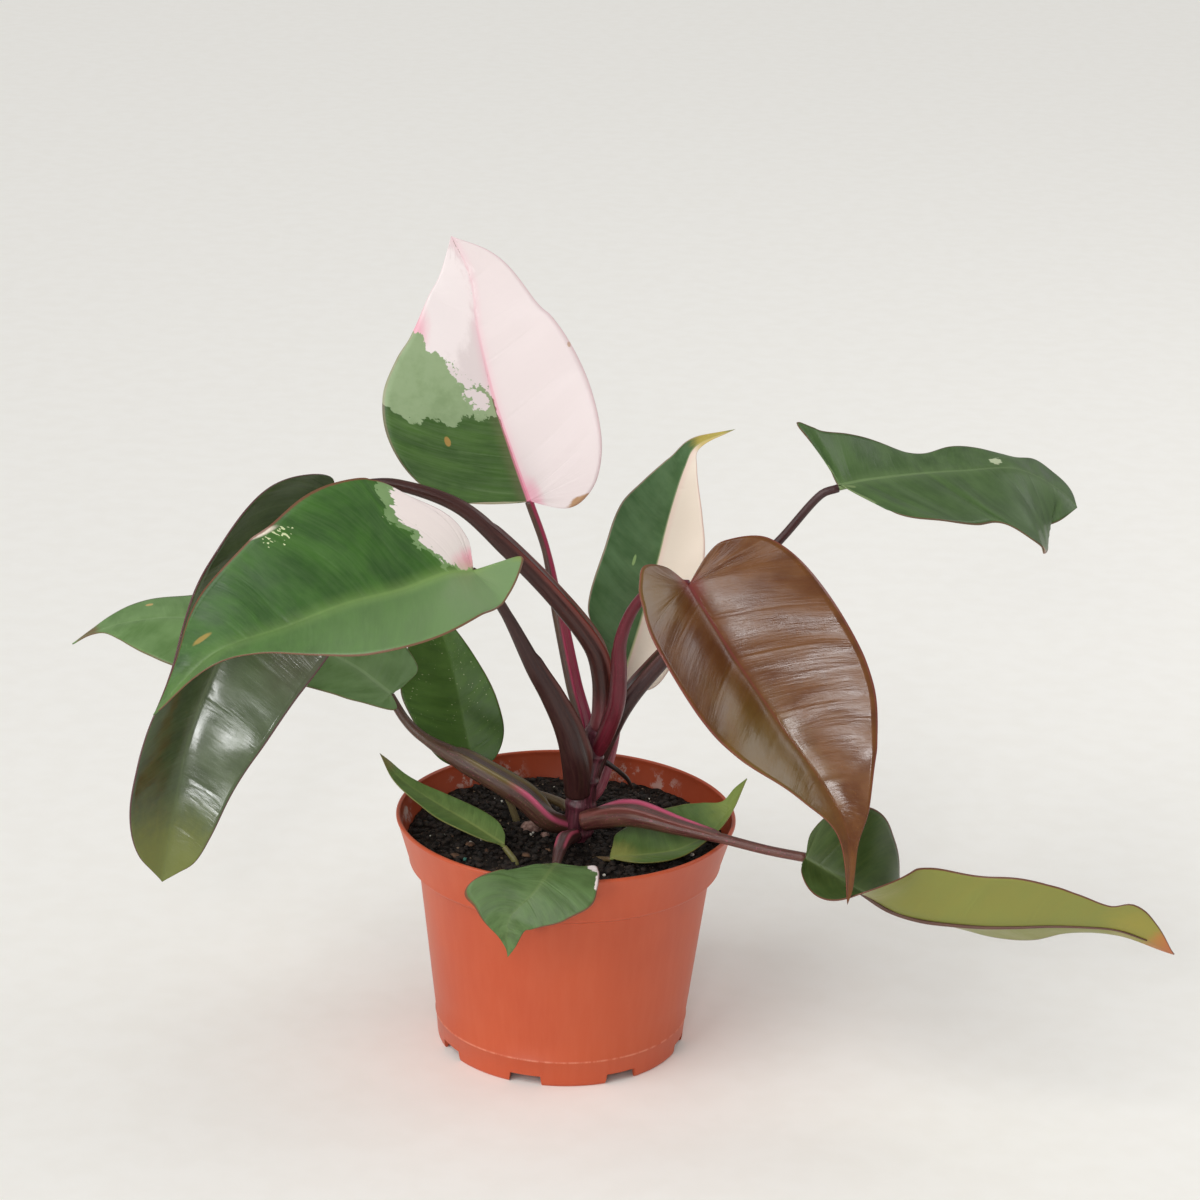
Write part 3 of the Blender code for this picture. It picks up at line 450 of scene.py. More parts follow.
leafLooks = {
    "variegated": {
        **plainLook, "deep": "#33521E", "mid": "#466829", "sage": "#99AD84", "pale": "#E1D4D3",
        "blush": "#EAC0C9", "rib": "#E8839F", "edge": "#D9A3A6", "under": "#B9A78F", "rough": 0.44, "jag": 9.0,
        "ribWidth": 1.25, "edgeShows": 0.2, "ribGlow": 0.1, "ribEnd": 0.12, "veinShows": 0.16,
    },
    "greenPale": {
        **plainLook, "deep": "#2C4E1E", "mid": "#3C6622", "sage": "#7E9A68", "pale": "#EBDEDB",
        "blush": "#E9B6BE", "rib": "#8CA85C", "edge": "#7A4538", "under": "#7C8A52", "rough": 0.34, "jag": 7.0,
        "flecks": 0.2, "edgeShows": 0.8, "halfSheen": (0.64, 0.0), "ribGlow": 0.4, "ribShows": 0.2,
    },
    "smallPale": {
        **plainLook, "deep": "#415A2C", "mid": "#567240", "sage": "#7E8F5C", "pale": "#EBDEDB",
        "blush": "#E9B6BE", "rib": "#7C8C52", "edge": "#7A4538", "under": "#7C8A52", "rough": 0.36, "jag": 3.0,
        "edgeShows": 0.8, "ribShows": 0.25, "veinShows": 0.04, "ribGlow": 0.15,
    },
    "darkGlossy": {
        **plainLook, "deep": "#2D3A1A", "mid": "#3F4E28", "sage": "#68765A", "rib": "#5D6B40",
        "edge": "#5F2F3A", "under": "#4A3A34", "rough": 0.17, "grain": 0.22, "edgeShows": 0.8, "ribGlow": 0.3,
        "ribShows": 0.45, "shine": 0.62, "halfSheen": (0.45, 0.1),
    },
    "sageGreen": {
        **plainLook, "deep": "#57783F", "mid": "#6C8C54", "sage": "#84A06A", "rib": "#8FA878",
        "edge": "#7B5A48", "under": "#7C8A58", "rough": 0.38, "ribShows": 0.5,
    },
    "fleckedGreen": {
        **plainLook, "deep": "#3B5A1D", "mid": "#4B6C28", "sage": "#5F7D38",
        "rib": "#5F7D3C", "edge": "#6A4A3A", "under": "#6F8048", "rough": 0.4, "flecks": 0.95, "ribWidth": 0.8,
        "ribShows": 0.4,
    },
    "youngGreen": {
        **plainLook, "deep": "#496330", "mid": "#5A763C", "sage": "#8A9A52", "rib": "#8E9C58",
        "edge": "#8A8446", "under": "#8A9A4C", "rough": 0.36, "ribWidth": 0.7, "ribShows": 0.5,
    },
    "twisted": {
        **plainLook, "deep": "#33451D", "mid": "#43582A", "sage": "#7C8440", "rib": "#5F7040",
        "edge": "#6A3A2E", "under": "#84833E", "rough": 0.34, "ribWidth": 1.0, "edgeShows": 0.9,
        "ribShows": 0.5,
    },
    "bronze": {
        **plainLook, "deep": "#5A3014", "mid": "#6D4016", "sage": "#7A5A26", "rib": "#74302E",
        "edge": "#94484A", "under": "#8A4A44", "rough": 0.2, "ribWidth": 0.9, "grain": 0.22, "ribGlow": 0.15,
        "veinShows": 0.06, "ribEnd": 0.1, "shine": 0.52, "edgeShows": 0.4,
    },
    "ridgedGreen": {
        **plainLook, "deep": "#385126", "mid": "#4B6635", "sage": "#6F8A58", "pale": "#B9C4A0",
        "rib": "#7B935F", "edge": "#7A4A42", "under": "#6F8050", "rough": 0.34, "jag": 2.0, "grain": 0.3,
        "ribShows": 0.6,
    },
    "creamHalf": {
        **plainLook, "deep": "#42643A", "mid": "#587A50", "sage": "#7F9A68", "pale": "#EFE0CF",
        "blush": "#E9C0B8", "rib": "#C9C79A", "edge": "#D9A9A0", "under": "#9A9A72", "rough": 0.34, "jag": 1.2,
        "ribWidth": 0.6, "edgeShows": 0.4, "ribGlow": 0.0,
    },
}


def stain(tree, base, flat, torn, marks):
    # ragged ovals: place along and out in mm, reach along and out, colour, strength and softness of the edge
    for along, out, alongReach, outReach, colour, strength, soft in marks:
        here = addNode(tree, "ShaderNodeMapping", {
            "vector_type": "TEXTURE", "Vector": flat, "Location": (out / 100, along / 100, 0),
            "Scale": (outReach / 100, alongReach / 100, 1),
        })
        here = addNode(tree, "ShaderNodeVectorMath", {"operation": "LENGTH", 0: here}, "Value")
        here = addNode(tree, "ShaderNodeMath", {"operation": "MULTIPLY_ADD", 0: torn, 1: 0.8, 2: here})
        here = addNode(tree, "ShaderNodeMapRange", {
            **smooth, 0: here, 1: 1.4 + soft / 2, 2: 1.4 - soft / 2, 3: 0.0, 4: strength,
        })
        base = addNode(tree, "ShaderNodeMix", {**colours, 0: here, 6: base, 7: hexColor(colour)}, 2)
    return base


def leafTissue(name, leaf, look, underside):
    # cutin wax over soft green tissue: one flat unit is 100 mm, so 0.01 is a millimetre
    material, tree, shader = newMaterial(name)
    flat = addNode(tree, "ShaderNodeUVMap", {"uv_map": "flat"})
    vein = addNode(tree, "ShaderNodeUVMap", {"uv_map": "vein"})
    side = addNode(tree, "ShaderNodeSeparateXYZ", {0: flat}, 0)
    outward = addNode(tree, "ShaderNodeMath", {"operation": "ABSOLUTE", 0: side})
    share = addNode(tree, "ShaderNodeSeparateXYZ", {0: vein}, 0)
    across = addNode(tree, "ShaderNodeSeparateXYZ", {0: vein}, 1)
    across = addNode(tree, "ShaderNodeMath", {"operation": "ABSOLUTE", 0: across})

    # blotches of 14 mm, and streaks along the side veins about 6 mm and 1 mm wide
    blotches = addNode(tree, "ShaderNodeTexNoise", {"Vector": flat, "Scale": 7.0, "Detail": 4.0, "Roughness": 0.6})
    way = addNode(tree, "ShaderNodeMapping", {"Vector": vein, "Scale": (22.0, 1.2, 1.0)})
    broad = addNode(tree, "ShaderNodeTexNoise", {"Vector": way, "Scale": 1.0, "Detail": 2.0})
    way = addNode(tree, "ShaderNodeMapping", {"Vector": vein, "Scale": (150.0, 3.0, 1.0)})
    grain = addNode(tree, "ShaderNodeTexNoise", {"Vector": way, "Scale": 1.0, "Detail": 3.0, "Roughness": 0.6})
    tone = addNode(tree, "ShaderNodeMix", {0: 0.45, 2: broad, 3: blotches})

    # side veins: thin lines that die out before the margin
    line = addNode(tree, "ShaderNodeMath", {"operation": "MULTIPLY", 0: share, 1: float(leaf["veins"])})
    line = addNode(tree, "ShaderNodeMath", {"operation": "PINGPONG", 0: line, 1: 0.5})
    line = addNode(tree, "ShaderNodeMapRange", {**smooth, 0: line, 1: 0.0, 2: 0.06, 3: 1.0, 4: 0.0})
    fade = addNode(tree, "ShaderNodeMapRange", {**smooth, 0: across, 1: 0.35, 2: 0.95, 3: 1.0, 4: 0.0})
    line = addNode(tree, "ShaderNodeMath", {"operation": "MULTIPLY", 0: line, 1: fade})
    patchy = addNode(tree, "ShaderNodeMapRange", {**smooth, 0: blotches, 1: 0.35, 2: 0.65})
    shown = addNode(tree, "ShaderNodeMath", {"operation": "MULTIPLY", 0: line, 1: patchy})
    shown = addNode(tree, "ShaderNodeMath", {"operation": "MULTIPLY", 0: shown, 1: look["veinShows"]})

    mottle = addNode(tree, "ShaderNodeMapRange", {**smooth, 0: tone, 1: 0.36, 2: 0.64})
    first, second = (look["under"], look["sage"]) if underside else (look["deep"], look["mid"])
    weight = addNode(tree, "ShaderNodeMath", {"operation": "MULTIPLY", 0: mottle, 1: 0.4 if underside else 1.0})
    base = addNode(tree, "ShaderNodeMix", {**colours, 0: weight, 6: hexColor(first), 7: hexColor(second)}, 2)
    # painted sheen: the half that faces the light is mixed towards the sage tone
    if not underside and max(look["halfSheen"]) > 0:
        sheenLean = addNode(tree, "ShaderNodeMapRange", {
            **smooth, 0: side, 1: -0.03, 2: 0.03, 3: look["halfSheen"][0], 4: look["halfSheen"][1],
        })
        # painted sheen: the leaning half is lightest towards the joint
        near = addNode(tree, "ShaderNodeMapRange", {0: share, 1: 0.1, 2: 0.75, 3: 1.4, 4: 0.5})
        sheenLean = addNode(tree, "ShaderNodeMath", {"operation": "MULTIPLY", 0: sheenLean, 1: near})
        base = addNode(tree, "ShaderNodeMix", {**colours, 0: sheenLean, 6: base, 7: hexColor(look["sage"])}, 2)
    base = addNode(tree, "ShaderNodeMix", {**colours, 0: shown, 6: base, 7: hexColor(look["sage"])}, 2)
    weight = addNode(tree, "ShaderNodeMapRange", {**smooth, 0: grain, 1: 0.25, 2: 0.75, 3: 0.0, 4: 0.12})
    base = addNode(tree, "ShaderNodeMix", {**colours, 0: weight, 6: base, 7: hexColor(look["sage"])}, 2)

    if look["flecks"] > 0:
        # cream flecks lie along the veins, about 0.5 by 3 mm, thick only where the leaf says
        way = addNode(tree, "ShaderNodeMapping", {"Vector": vein, "Scale": (150.0, 16.0, 1.0)})
        fleck = addNode(tree, "ShaderNodeTexNoise", {"Vector": way, "Scale": 1.0, "Detail": 1.0})
        gather = addNode(tree, "ShaderNodeTexNoise", {"Vector": flat, "Scale": 3.0, "Detail": 1.0})
        scarce = 0.86 - 0.12 * look["flecks"]
        gather = addNode(tree, "ShaderNodeMapRange", {
            **smooth, 0: gather, 1: 0.4, 2: 0.65, 3: scarce, 4: scarce - 0.05,
        })
        for along, out, alongReach, outReach in leaf.get("speckled", []):
            here = addNode(tree, "ShaderNodeMapping", {
                "vector_type": "TEXTURE", "Vector": flat, "Location": (out / 100, along / 100, 0),
                "Scale": (outReach / 100, alongReach / 100, 1),
            })
            here = addNode(tree, "ShaderNodeVectorMath", {"operation": "LENGTH", 0: here}, "Value")
            here = addNode(tree, "ShaderNodeMapRange", {**smooth, 0: here, 1: 0.4, 2: 1.1, 3: 0.57, 4: 0.85})
            gather = addNode(tree, "ShaderNodeMath", {"operation": "MINIMUM", 0: gather, 1: here})
        fleck = addNode(tree, "ShaderNodeMath", {"operation": "SUBTRACT", 0: fleck, 1: gather})
        fleck = addNode(tree, "ShaderNodeMapRange", {**smooth, 0: fleck, 1: 0.0, 2: 0.03, 3: 0.0, 4: 0.85})
        base = addNode(tree, "ShaderNodeMix", {**colours, 0: fleck, 6: base, 7: hexColor(look["fleck"])}, 2)

    # patches have torn edges: their distance in mm is shifted by noise stretched along the veins
    way = addNode(tree, "ShaderNodeMapping", {"Vector": vein, "Scale": (30.0, 6.0, 1.0)})
    torn = addNode(tree, "ShaderNodeTexNoise", {"Vector": way, "Scale": 1.0, "Detail": 5.0, "Roughness": 0.6})
    speckle = addNode(tree, "ShaderNodeTexNoise", {"Vector": flat, "Scale": 60.0, "Detail": 2.0})
    jag = look["jag"]
    shift = addNode(tree, "ShaderNodeMath", {"operation": "MULTIPLY_ADD", 0: torn, 1: 2 * jag, 2: -jag - 0.6})
    shift = addNode(tree, "ShaderNodeMath", {"operation": "MULTIPLY_ADD", 0: speckle, 1: 1.2, 2: shift})
    calm = addNode(tree, "ShaderNodeMapRange", {**smooth, 0: blotches, 1: 0.4, 2: 0.7, 3: 0.0, 4: 0.3})
    sageTint = addNode(tree, "ShaderNodeMix", {
        **colours, 0: calm, 6: hexColor(look["sage"]), 7: hexColor(look["mid"]),
    }, 2)
    nearRib = addNode(tree, "ShaderNodeMapRange", {**smooth, 0: outward, 1: 0.0, 2: 0.04, 3: 0.4, 4: 0.0})
    margin = addNode(tree, "ShaderNodeMapRange", {**smooth, 0: across, 1: 0.92, 2: 1.0, 3: 0.0, 4: 0.2})
    blush = addNode(tree, "ShaderNodeMath", {"operation": "MAXIMUM", 0: nearRib, 1: margin})
    paleTint = addNode(tree, "ShaderNodeMix", {
        **colours, 0: blush, 6: hexColor(look["pale"]), 7: hexColor(look["blush"]),
    }, 2)
    paleTint = stain(tree, paleTint, flat, torn, leaf.get("blushed", []))
    for key, tint, strength in (("sage", sageTint, 0.5 if underside else 0.92), ("pale", paleTint, 1.0)):
        mask = addNode(tree, "ShaderNodeAttribute", {"attribute_name": key}, "Fac")
        mask = addNode(tree, "ShaderNodeMath", {"operation": "ADD", 0: mask, 1: shift})
        mask = addNode(tree, "ShaderNodeMapRange", {**smooth, 0: mask, 1: -0.25, 2: 0.25, 3: 0.0, 4: strength})
        base = addNode(tree, "ShaderNodeMix", {**colours, 0: mask, 6: base, 7: tint}, 2)

    base = stain(tree, base, flat, torn, leaf.get("marks", []))

    # the rib narrows and fades towards the tip, with a soft glow beside it and a thin line on the margin
    glow = addNode(tree, "ShaderNodeMapRange", {**smooth, 0: outward, 1: 0.07, 2: 0.0, 3: 0.0, 4: look["ribGlow"]})
    fade = addNode(tree, "ShaderNodeMapRange", {**smooth, 0: share, 1: 0.9, 2: 0.2, 3: look["ribEnd"], 4: 0.95})
    glow = addNode(tree, "ShaderNodeMath", {"operation": "MULTIPLY", 0: glow, 1: fade})
    base = addNode(tree, "ShaderNodeMix", {**colours, 0: glow, 6: base, 7: hexColor(look["rib"])}, 2)
    width = look["ribWidth"] / 100
    mask = addNode(tree, "ShaderNodeMath", {"operation": "MULTIPLY_ADD", 0: share, 1: 0.75 * width, 2: outward})
    mask = addNode(tree, "ShaderNodeMapRange", {
        **smooth, 0: mask, 1: width + 0.004, 2: width - 0.003, 3: 0.0, 4: look["ribShows"],
    })
    mask = addNode(tree, "ShaderNodeMath", {"operation": "MULTIPLY", 0: mask, 1: fade})
    base = addNode(tree, "ShaderNodeMix", {**colours, 0: mask, 6: base, 7: hexColor(look["rib"])}, 2)
    mask = addNode(tree, "ShaderNodeMath", {"operation": "MULTIPLY_ADD", 0: speckle, 1: 0.012, 2: across})
    mask = addNode(tree, "ShaderNodeMapRange", {**smooth, 0: mask, 1: 0.98, 2: 0.994, 3: 0.0, 4: look["edgeShows"]})
    base = addNode(tree, "ShaderNodeMix", {**colours, 0: mask, 6: base, 7: hexColor(look["edge"])}, 2)

    rough = addNode(tree, "ShaderNodeMapRange", {
        **smooth, 0: tone, 1: 0.35, 2: 0.65, 3: look["rough"] - 0.04, 4: look["rough"] + 0.08,
    })
    height = addNode(tree, "ShaderNodeMath", {"operation": "MULTIPLY", 0: grain, 1: look["grain"]})
    height = addNode(tree, "ShaderNodeMath", {"operation": "MULTIPLY_ADD", 0: line, 1: -0.18, 2: height})
    height = addNode(tree, "ShaderNodeMath", {"operation": "MULTIPLY_ADD", 0: broad, 1: 0.9, 2: height})
    bump = addNode(tree, "ShaderNodeBump", {"Strength": 1.0, "Distance": 0.3 * mm, "Height": height})
    setShader(tree, shader, {
        "Base Color": base, "Roughness": rough, "IOR": 1.45, "Specular IOR Level": look["shine"], "Normal": bump,
    })
    return material


def makeLeaf(name, leaf):
    places, flat, vein = bladeSurface(leaf)
    floats = {key: patchDistance(leaf, key, flat) for key in ("pale", "sage")}
    mesh = gridMesh("leaf_" + name, places, {"flat": flat / 100, "vein": vein}, floats)
    look = leafLooks[leaf["look"]]
    upper = leafTissue("waxy_leaf_" + name, leaf, look, False)
    under = leafTissue("leaf_underside_" + name, leaf, look, True)
    piece = newPiece("leaf_" + name, mesh, [upper, under], "blade_" + name)
    wall = piece.modifiers.new("thickness", "SOLIDIFY")
    wall.thickness = leafGrid["thickness"] * mm
    wall.offset = 0.0
    wall.material_offset = 1


for name, leaf in leaves.items():
    makeLeaf(name, leaf)
print("leaf blades made")


# Petioles and stems: tubes whose section carries the two thin wings of the sheath

petioles = {
    "pink_upright": {
        "points": [(4, 7, 126), (7, 9, 140), (1, 12, 163), (-6, 16, 194), (-12, 20, 221), (-20, 22, 243)],
        "radii": [3.2, 3.2, 3.0, 2.8, 1.9, 1.9], "sheath": (0.02, 0.62, 1.9),
        "body": "#46282A", "shade": "#5B4633", "strip": "#A32A4E", "wing": "#A32A4E", "flank": (0.03, 0.24),
    },
    "green_front": {
        "points": [(5, -6, 119), (3, -12, 138), (-1, -15, 153), (-8, -19, 169), (-15, -24, 183), (-27, -34, 210),
                   (-37, -42, 228), (-41, -45, 233)],
        "radii": [6.0, 6.0, 5.4, 4.6, 3.9, 2.3, 2.2, 2.2], "sheath": (0.05, 0.6, 1.7),
        "body": "#33191A", "shade": "#432824", "strip": "#5C2F2A", "wing": "#6A3A30",
    },
    "dark_left": {
        "root": (14, -1, 147),
        "points": [(15, -1, 157), (14, -2, 173), (9, -4, 188), (-8, -6, 210), (-29, -8, 232), (-49, -8, 249),
                   (-74, -8, 257.5), (-89, -6.5, 256.8), (-100.5, -5, 253.2)],
        "radii": [5.0, 4.8, 4.5, 4.2, 4.0, 3.2, 2.5, 2.4, 2.3], "sheath": (0.05, 0.62, 1.9),
        "body": "#351815", "shade": "#47241E", "strip": "#6E3028", "wing": "#6E3028", "foot": "#8E4A50",
    },
    "far_left": {
        "points": [(-1, -5, 102.5), (-9, -10.5, 108), (-20, -10, 118), (-44, -5, 130.5), (-62, 0, 139),
                   (-71, 3, 146), (-78, 5, 158)],
        "radii": [4.4, 5.0, 5.2, 4.8, 2.4, 2.1, 2.0], "sheath": (0.06, 0.62, 2.0),
        "body": "#492A26", "shade": "#5C4532", "strip": "#CC5F7C", "wing": "#7A6A40", "brightTo": 0.3,
    },
    "rear_left": {
        "points": [(3, 3, 104), (-2, 16, 104), (-18, 27, 105), (-34, 31, 108), (-42, 32, 113.5)],
        "radii": [2.2, 2.1, 1.9, 1.8, 1.7], "sheath": None,
        "body": "#5A4030", "shade": "#6F6240", "strip": "#8A5A50",
    },
    "small_left": {
        "points": [(-20, -33, 88), (-21, -33, 96), (-26, -30, 103)],
        "radii": [1.4, 1.4, 1.2], "sheath": None,
        "body": "#6F6A3C", "shade": "#86824E", "strip": "#8A5A50",
    },
    "small_front": {
        "points": [(4, -14, 101.5), (0, -26, 104.5), (-2, -45, 107.5), (-3, -66, 111)],
        "radii": [3.2, 3.4, 2.8, 1.6], "sheath": (0.05, 0.7, 1.5),
        "body": "#47262A", "shade": "#5A3C34", "strip": "#C0556C",
    },
    "small_right": {
        "points": [(12, -25, 88), (12.5, -25.5, 95), (20, -31, 99.5)],
        "radii": [1.2, 1.2, 1.1], "sheath": None,
        "body": "#5E4630", "shade": "#7A6A44", "strip": "#8A5A50",
    },
    "low_right": {
        "points": [(8, -10, 107), (18, -14, 111), (30, -19, 114), (49, -27, 112.5), (68, -34.5, 111),
                   (87, -42, 109.5), (103, -50, 110)],
        "radii": [4.6, 5.2, 5.2, 3.6, 2.2, 2.1, 2.1], "sheath": (0.04, 0.62, 2.0),
        "body": "#552C2A", "shade": "#6E4A3C", "strip": "#DB5E82", "wing": "#7C4640", "brightTo": 0.62,
    },
    "bronze_right": {
        "root": (12, -3, 136),
        "points": [(17, -7, 148), (21, -11, 163), (21.5, -13.5, 178), (21.5, -17, 194), (27, -24, 212),
                   (37, -32, 225), (49, -40, 228)],
        "radii": [3.6, 3.4, 3.2, 2.8, 2.4, 2.2, 2.2], "sheath": (0.05, 0.5, 1.2),
        "body": "#561620", "shade": "#6C1F2E", "strip": "#943646", "wing": "#4A141C",
    },
    "green_top_right": {
        "root": (10, 0, 124),
        "points": [(14, 3, 134), (24, 3, 157), (40, 5, 178), (64, 7, 205), (89, 9, 233), (105, 10, 253),
                   (113, 10, 258)],
        "radii": [4.4, 4.4, 4.0, 3.0, 1.9, 1.8, 1.8], "sheath": (0.05, 0.55, 1.5),
        "body": "#361B1E", "shade": "#482A28", "strip": "#7A4A44", "wing": "#5A3430",
    },
    "cream_rear": {
        "points": [(8, 4, 108), (15, 9, 115), (19, 13, 128), (21, 19, 138), (22, 30, 154)],
        "radii": [2.2, 2.0, 1.9, 1.9, 1.9], "sheath": None,
        "body": "#A04458", "shade": "#B9707A", "strip": "#D9627F",
    },
}


# vertices around and rings along each kind of round piece, how far a rounded end stands out for its radius, and
# how far behind the blade's upper face a stalk ends
roundGrid = {
    "stalk": (48, 90), "smallStalk": (20, 30), "keel": (12, 60), "stem": (64, 140), "withered": (24, 36),
    "endReach": 0.35, "stalkBehind": 1.4,
}


def sweep(points, radii, around, count, reference, section):
    # rings round a smooth path, turned so that angle 0 looks along the reference
    path, length = evenly(points, count)
    tangent = unit(np.gradient(path, axis=0))
    steps = np.linalg.norm(np.diff(np.asarray(points, float), axis=0), axis=1)
    given = np.concatenate([[0], np.cumsum(steps)])
    radius = np.interp(np.linspace(0, given[-1], count), given, radii)
    ahead = unit(reference - (tangent @ reference)[:, None] * tangent)
    across = np.cross(tangent, ahead)
    angle = np.linspace(-math.pi, math.pi, around + 1)
    places = np.zeros((count + 2, around + 1, 3))
    uv = np.zeros((count + 2, around + 1, 2))
    for i in range(count):
        share = i / (count - 1)
        reach = radius[i] * section(share, angle) if section else np.full(around + 1, radius[i])
        ring = np.cos(angle)[:, None] * ahead[i] + np.sin(angle)[:, None] * across[i]
        places[i + 1] = path[i] + reach[:, None] * ring
        uv[i + 1] = np.stack([angle / math.pi, np.full(around + 1, share * length / 100)], axis=1)
    places[0] = path[0] - tangent[0] * radius[0] * roundGrid["endReach"]
    places[-1] = path[-1] + tangent[-1] * radius[-1] * roundGrid["endReach"]
    uv[0], uv[-1] = uv[1], uv[-2]
    return places, uv


# the sheath rises and ends over these shares of the stalk, and gets lower on its way; its wings stand 0.78 rad, or
# 45 degrees, to each side of its channel; heights and depths are for a radius of 1
sheath = {
    "rises": 0.12, "ends": 0.03, "lowers": 0.35, "wingPlace": 0.78, "wingWidth": 0.15, "wingHeight": 0.28,
    "channelWidth": 0.5, "channelDepth": 0.22,
}


def sheathSection(start, end, height):
    # a shallow channel between two wings, ending in a blunt step
    def section(share, angle):
        rise = np.clip((share - start) / sheath["rises"], 0, 1) * np.clip((end - share) / sheath["ends"], 0, 1) ** 0.6
        taper = 1 - sheath["lowers"] * np.clip(share / end, 0, 1)
        wings = np.exp(-((np.abs(angle) - sheath["wingPlace"]) / sheath["wingWidth"]) ** 2)
        channel = np.exp(-(angle / sheath["channelWidth"]) ** 2)
        return 1 + rise * taper * (sheath["wingHeight"] * height * wings - sheath["channelDepth"] * channel)
    return section


def petioleSkin(name, look, sheathEnd=0.0, length=100.0):
    # smooth waxy rind of a leaf stalk: satin, streaked lengthwise and dotted, the sheath's wings brighter
    material, tree, shader = newMaterial(name)
    around = addNode(tree, "ShaderNodeUVMap", {"uv_map": "round"})
    place = addNode(tree, "ShaderNodeTexCoord", {}, "Object")
    # streaks are 0.5 mm wide and some 10 mm long, dots 0.3 mm across
    way = addNode(tree, "ShaderNodeMapping", {"Vector": around, "Scale": (18.0, 9.0, 1.0)})
    streaks = addNode(tree, "ShaderNodeTexNoise", {"Vector": way, "Scale": 1.0, "Detail": 3.0, "Roughness": 0.6})
    dots = addNode(tree, "ShaderNodeTexNoise", {"Vector": place, "Scale": 1100.0, "Detail": 1.0})
    tone = addNode(tree, "ShaderNodeTexNoise", {"Vector": place, "Scale": 60.0, "Detail": 2.0})
    body, shade, strip = (hexColor(look[key]) for key in ("body", "shade", "strip"))
    weight = addNode(tree, "ShaderNodeMapRange", {**smooth, 0: streaks, 1: 0.35, 2: 0.7})
    base = addNode(tree, "ShaderNodeMix", {**colours, 0: weight, 6: body, 7: shade}, 2)
    weight = addNode(tree, "ShaderNodeMapRange", {**smooth, 0: tone, 1: 0.4, 2: 0.7, 3: 0.0, 4: 0.5})
    base = addNode(tree, "ShaderNodeMix", {**colours, 0: weight, 6: base, 7: shade}, 2)
    weight = addNode(tree, "ShaderNodeMapRange", {**smooth, 0: dots, 1: 0.64, 2: 0.72, 3: 0.0, 4: 0.25})
    base = addNode(tree, "ShaderNodeMix", {**colours, 0: weight, 6: base, 7: strip}, 2)
    angle = addNode(tree, "ShaderNodeSeparateXYZ", {0: around}, 0)
    along = addNode(tree, "ShaderNodeSeparateXYZ", {0: around}, 1)
    if "flank" in look:
        # one side is coloured along the whole stalk: its middle and half width as shares of half a turn
        middle, half = look["flank"]
        off = addNode(tree, "ShaderNodeMath", {"operation": "SUBTRACT", 0: angle, 1: middle})
        off = addNode(tree, "ShaderNodeMath", {"operation": "ABSOLUTE", 0: off})
        weight = addNode(tree, "ShaderNodeMapRange", {
            **smooth, 0: off, 1: half + 0.12, 2: half - 0.05, 3: 0.0, 4: 0.85,
        })
        base = addNode(tree, "ShaderNodeMix", {**colours, 0: weight, 6: base, 7: strip}, 2)
    if sheathEnd:
        off = addNode(tree, "ShaderNodeMath", {"operation": "ABSOLUTE", 0: angle})
        off = addNode(tree, "ShaderNodeMath", {"operation": "SUBTRACT", 0: off, 1: 0.25})
        off = addNode(tree, "ShaderNodeMath", {"operation": "ABSOLUTE", 0: off})
        wing = addNode(tree, "ShaderNodeMapRange", {**smooth, 0: off, 1: 0.13, 2: 0.02})
        end = sheathEnd * length / 100
        fade = addNode(tree, "ShaderNodeMapRange", {**smooth, 0: along, 1: end, 2: end - 0.15 * length / 100})
        weight = addNode(tree, "ShaderNodeMath", {"operation": "MULTIPLY", 0: wing, 1: fade})
        # the two wings differ, and the bright one may turn dull further up
        which = addNode(tree, "ShaderNodeMath", {"operation": "GREATER_THAN", 0: angle, 1: 0.0})
        far = look.get("brightTo", 1.0) * length / 100
        dull = addNode(tree, "ShaderNodeMapRange", {**smooth, 0: along, 1: far - 0.06, 2: far + 0.06})
        which = addNode(tree, "ShaderNodeMath", {"operation": "MAXIMUM", 0: which, 1: dull})
        wing = addNode(tree, "ShaderNodeMix", {
            **colours, 0: which, 6: strip, 7: hexColor(look.get("wing", look["strip"])),
        }, 2)
        base = addNode(tree, "ShaderNodeMix", {**colours, 0: weight, 6: base, 7: wing}, 2)
    if "foot" in look:
        # paler where the stalk leaves the stem
        weight = addNode(tree, "ShaderNodeMapRange", {**smooth, 0: along, 1: 0.22, 2: 0.02, 3: 0.0, 4: 0.7})
        base = addNode(tree, "ShaderNodeMix", {**colours, 0: weight, 6: base, 7: hexColor(look["foot"])}, 2)
    rough = addNode(tree, "ShaderNodeMapRange", {**smooth, 0: streaks, 1: 0.3, 2: 0.7, 3: 0.28, 4: 0.4})
    bump = addNode(tree, "ShaderNodeBump", {"Distance": 0.12 * mm, "Height": streaks})
    setShader(tree, shader, {"Base Color": base, "Roughness": rough, "IOR": 1.45, "Normal": bump})
    return material


for name, look in petioles.items():
    points = look["points"]
    if "root" in look:  # the foot grows out of the stem
        points = [look["root"], *points]
    # the end stays behind the blade's upper face
    end = np.array(points[-1]) - roundGrid["stalkBehind"] * ribFrame(leaves[name])["face"][0]
    points = [*points[:-1], tuple(end)]
    # the sheath opens upwards and back towards the stem
    outward = np.array([points[-1][0] - points[0][0], points[-1][1] - points[0][1], 0.0])
    reference = unit(np.array([0, 0, 1.0]) - 0.8 * unit(outward))
    around, count = roundGrid["smallStalk" if name.startswith("small") else "stalk"]
    section = sheathSection(*look["sheath"]) if look["sheath"] else None
    radii = [look["radii"][0]] * (len(points) - len(look["radii"])) + look["radii"]
    places, uv = sweep(points, radii, around, count, reference, section)
    mesh = gridMesh("stalk_" + name, places, {"round": uv}, outward=True)
    sheathEnd = look["sheath"][1] if look["sheath"] else 0
    length = evenly(points, 10)[1]
    skin = petioleSkin("waxy_stalk_" + name, look, sheathEnd, length)
    newPiece("stalk_" + name, mesh, [skin], "petiole_" + name)

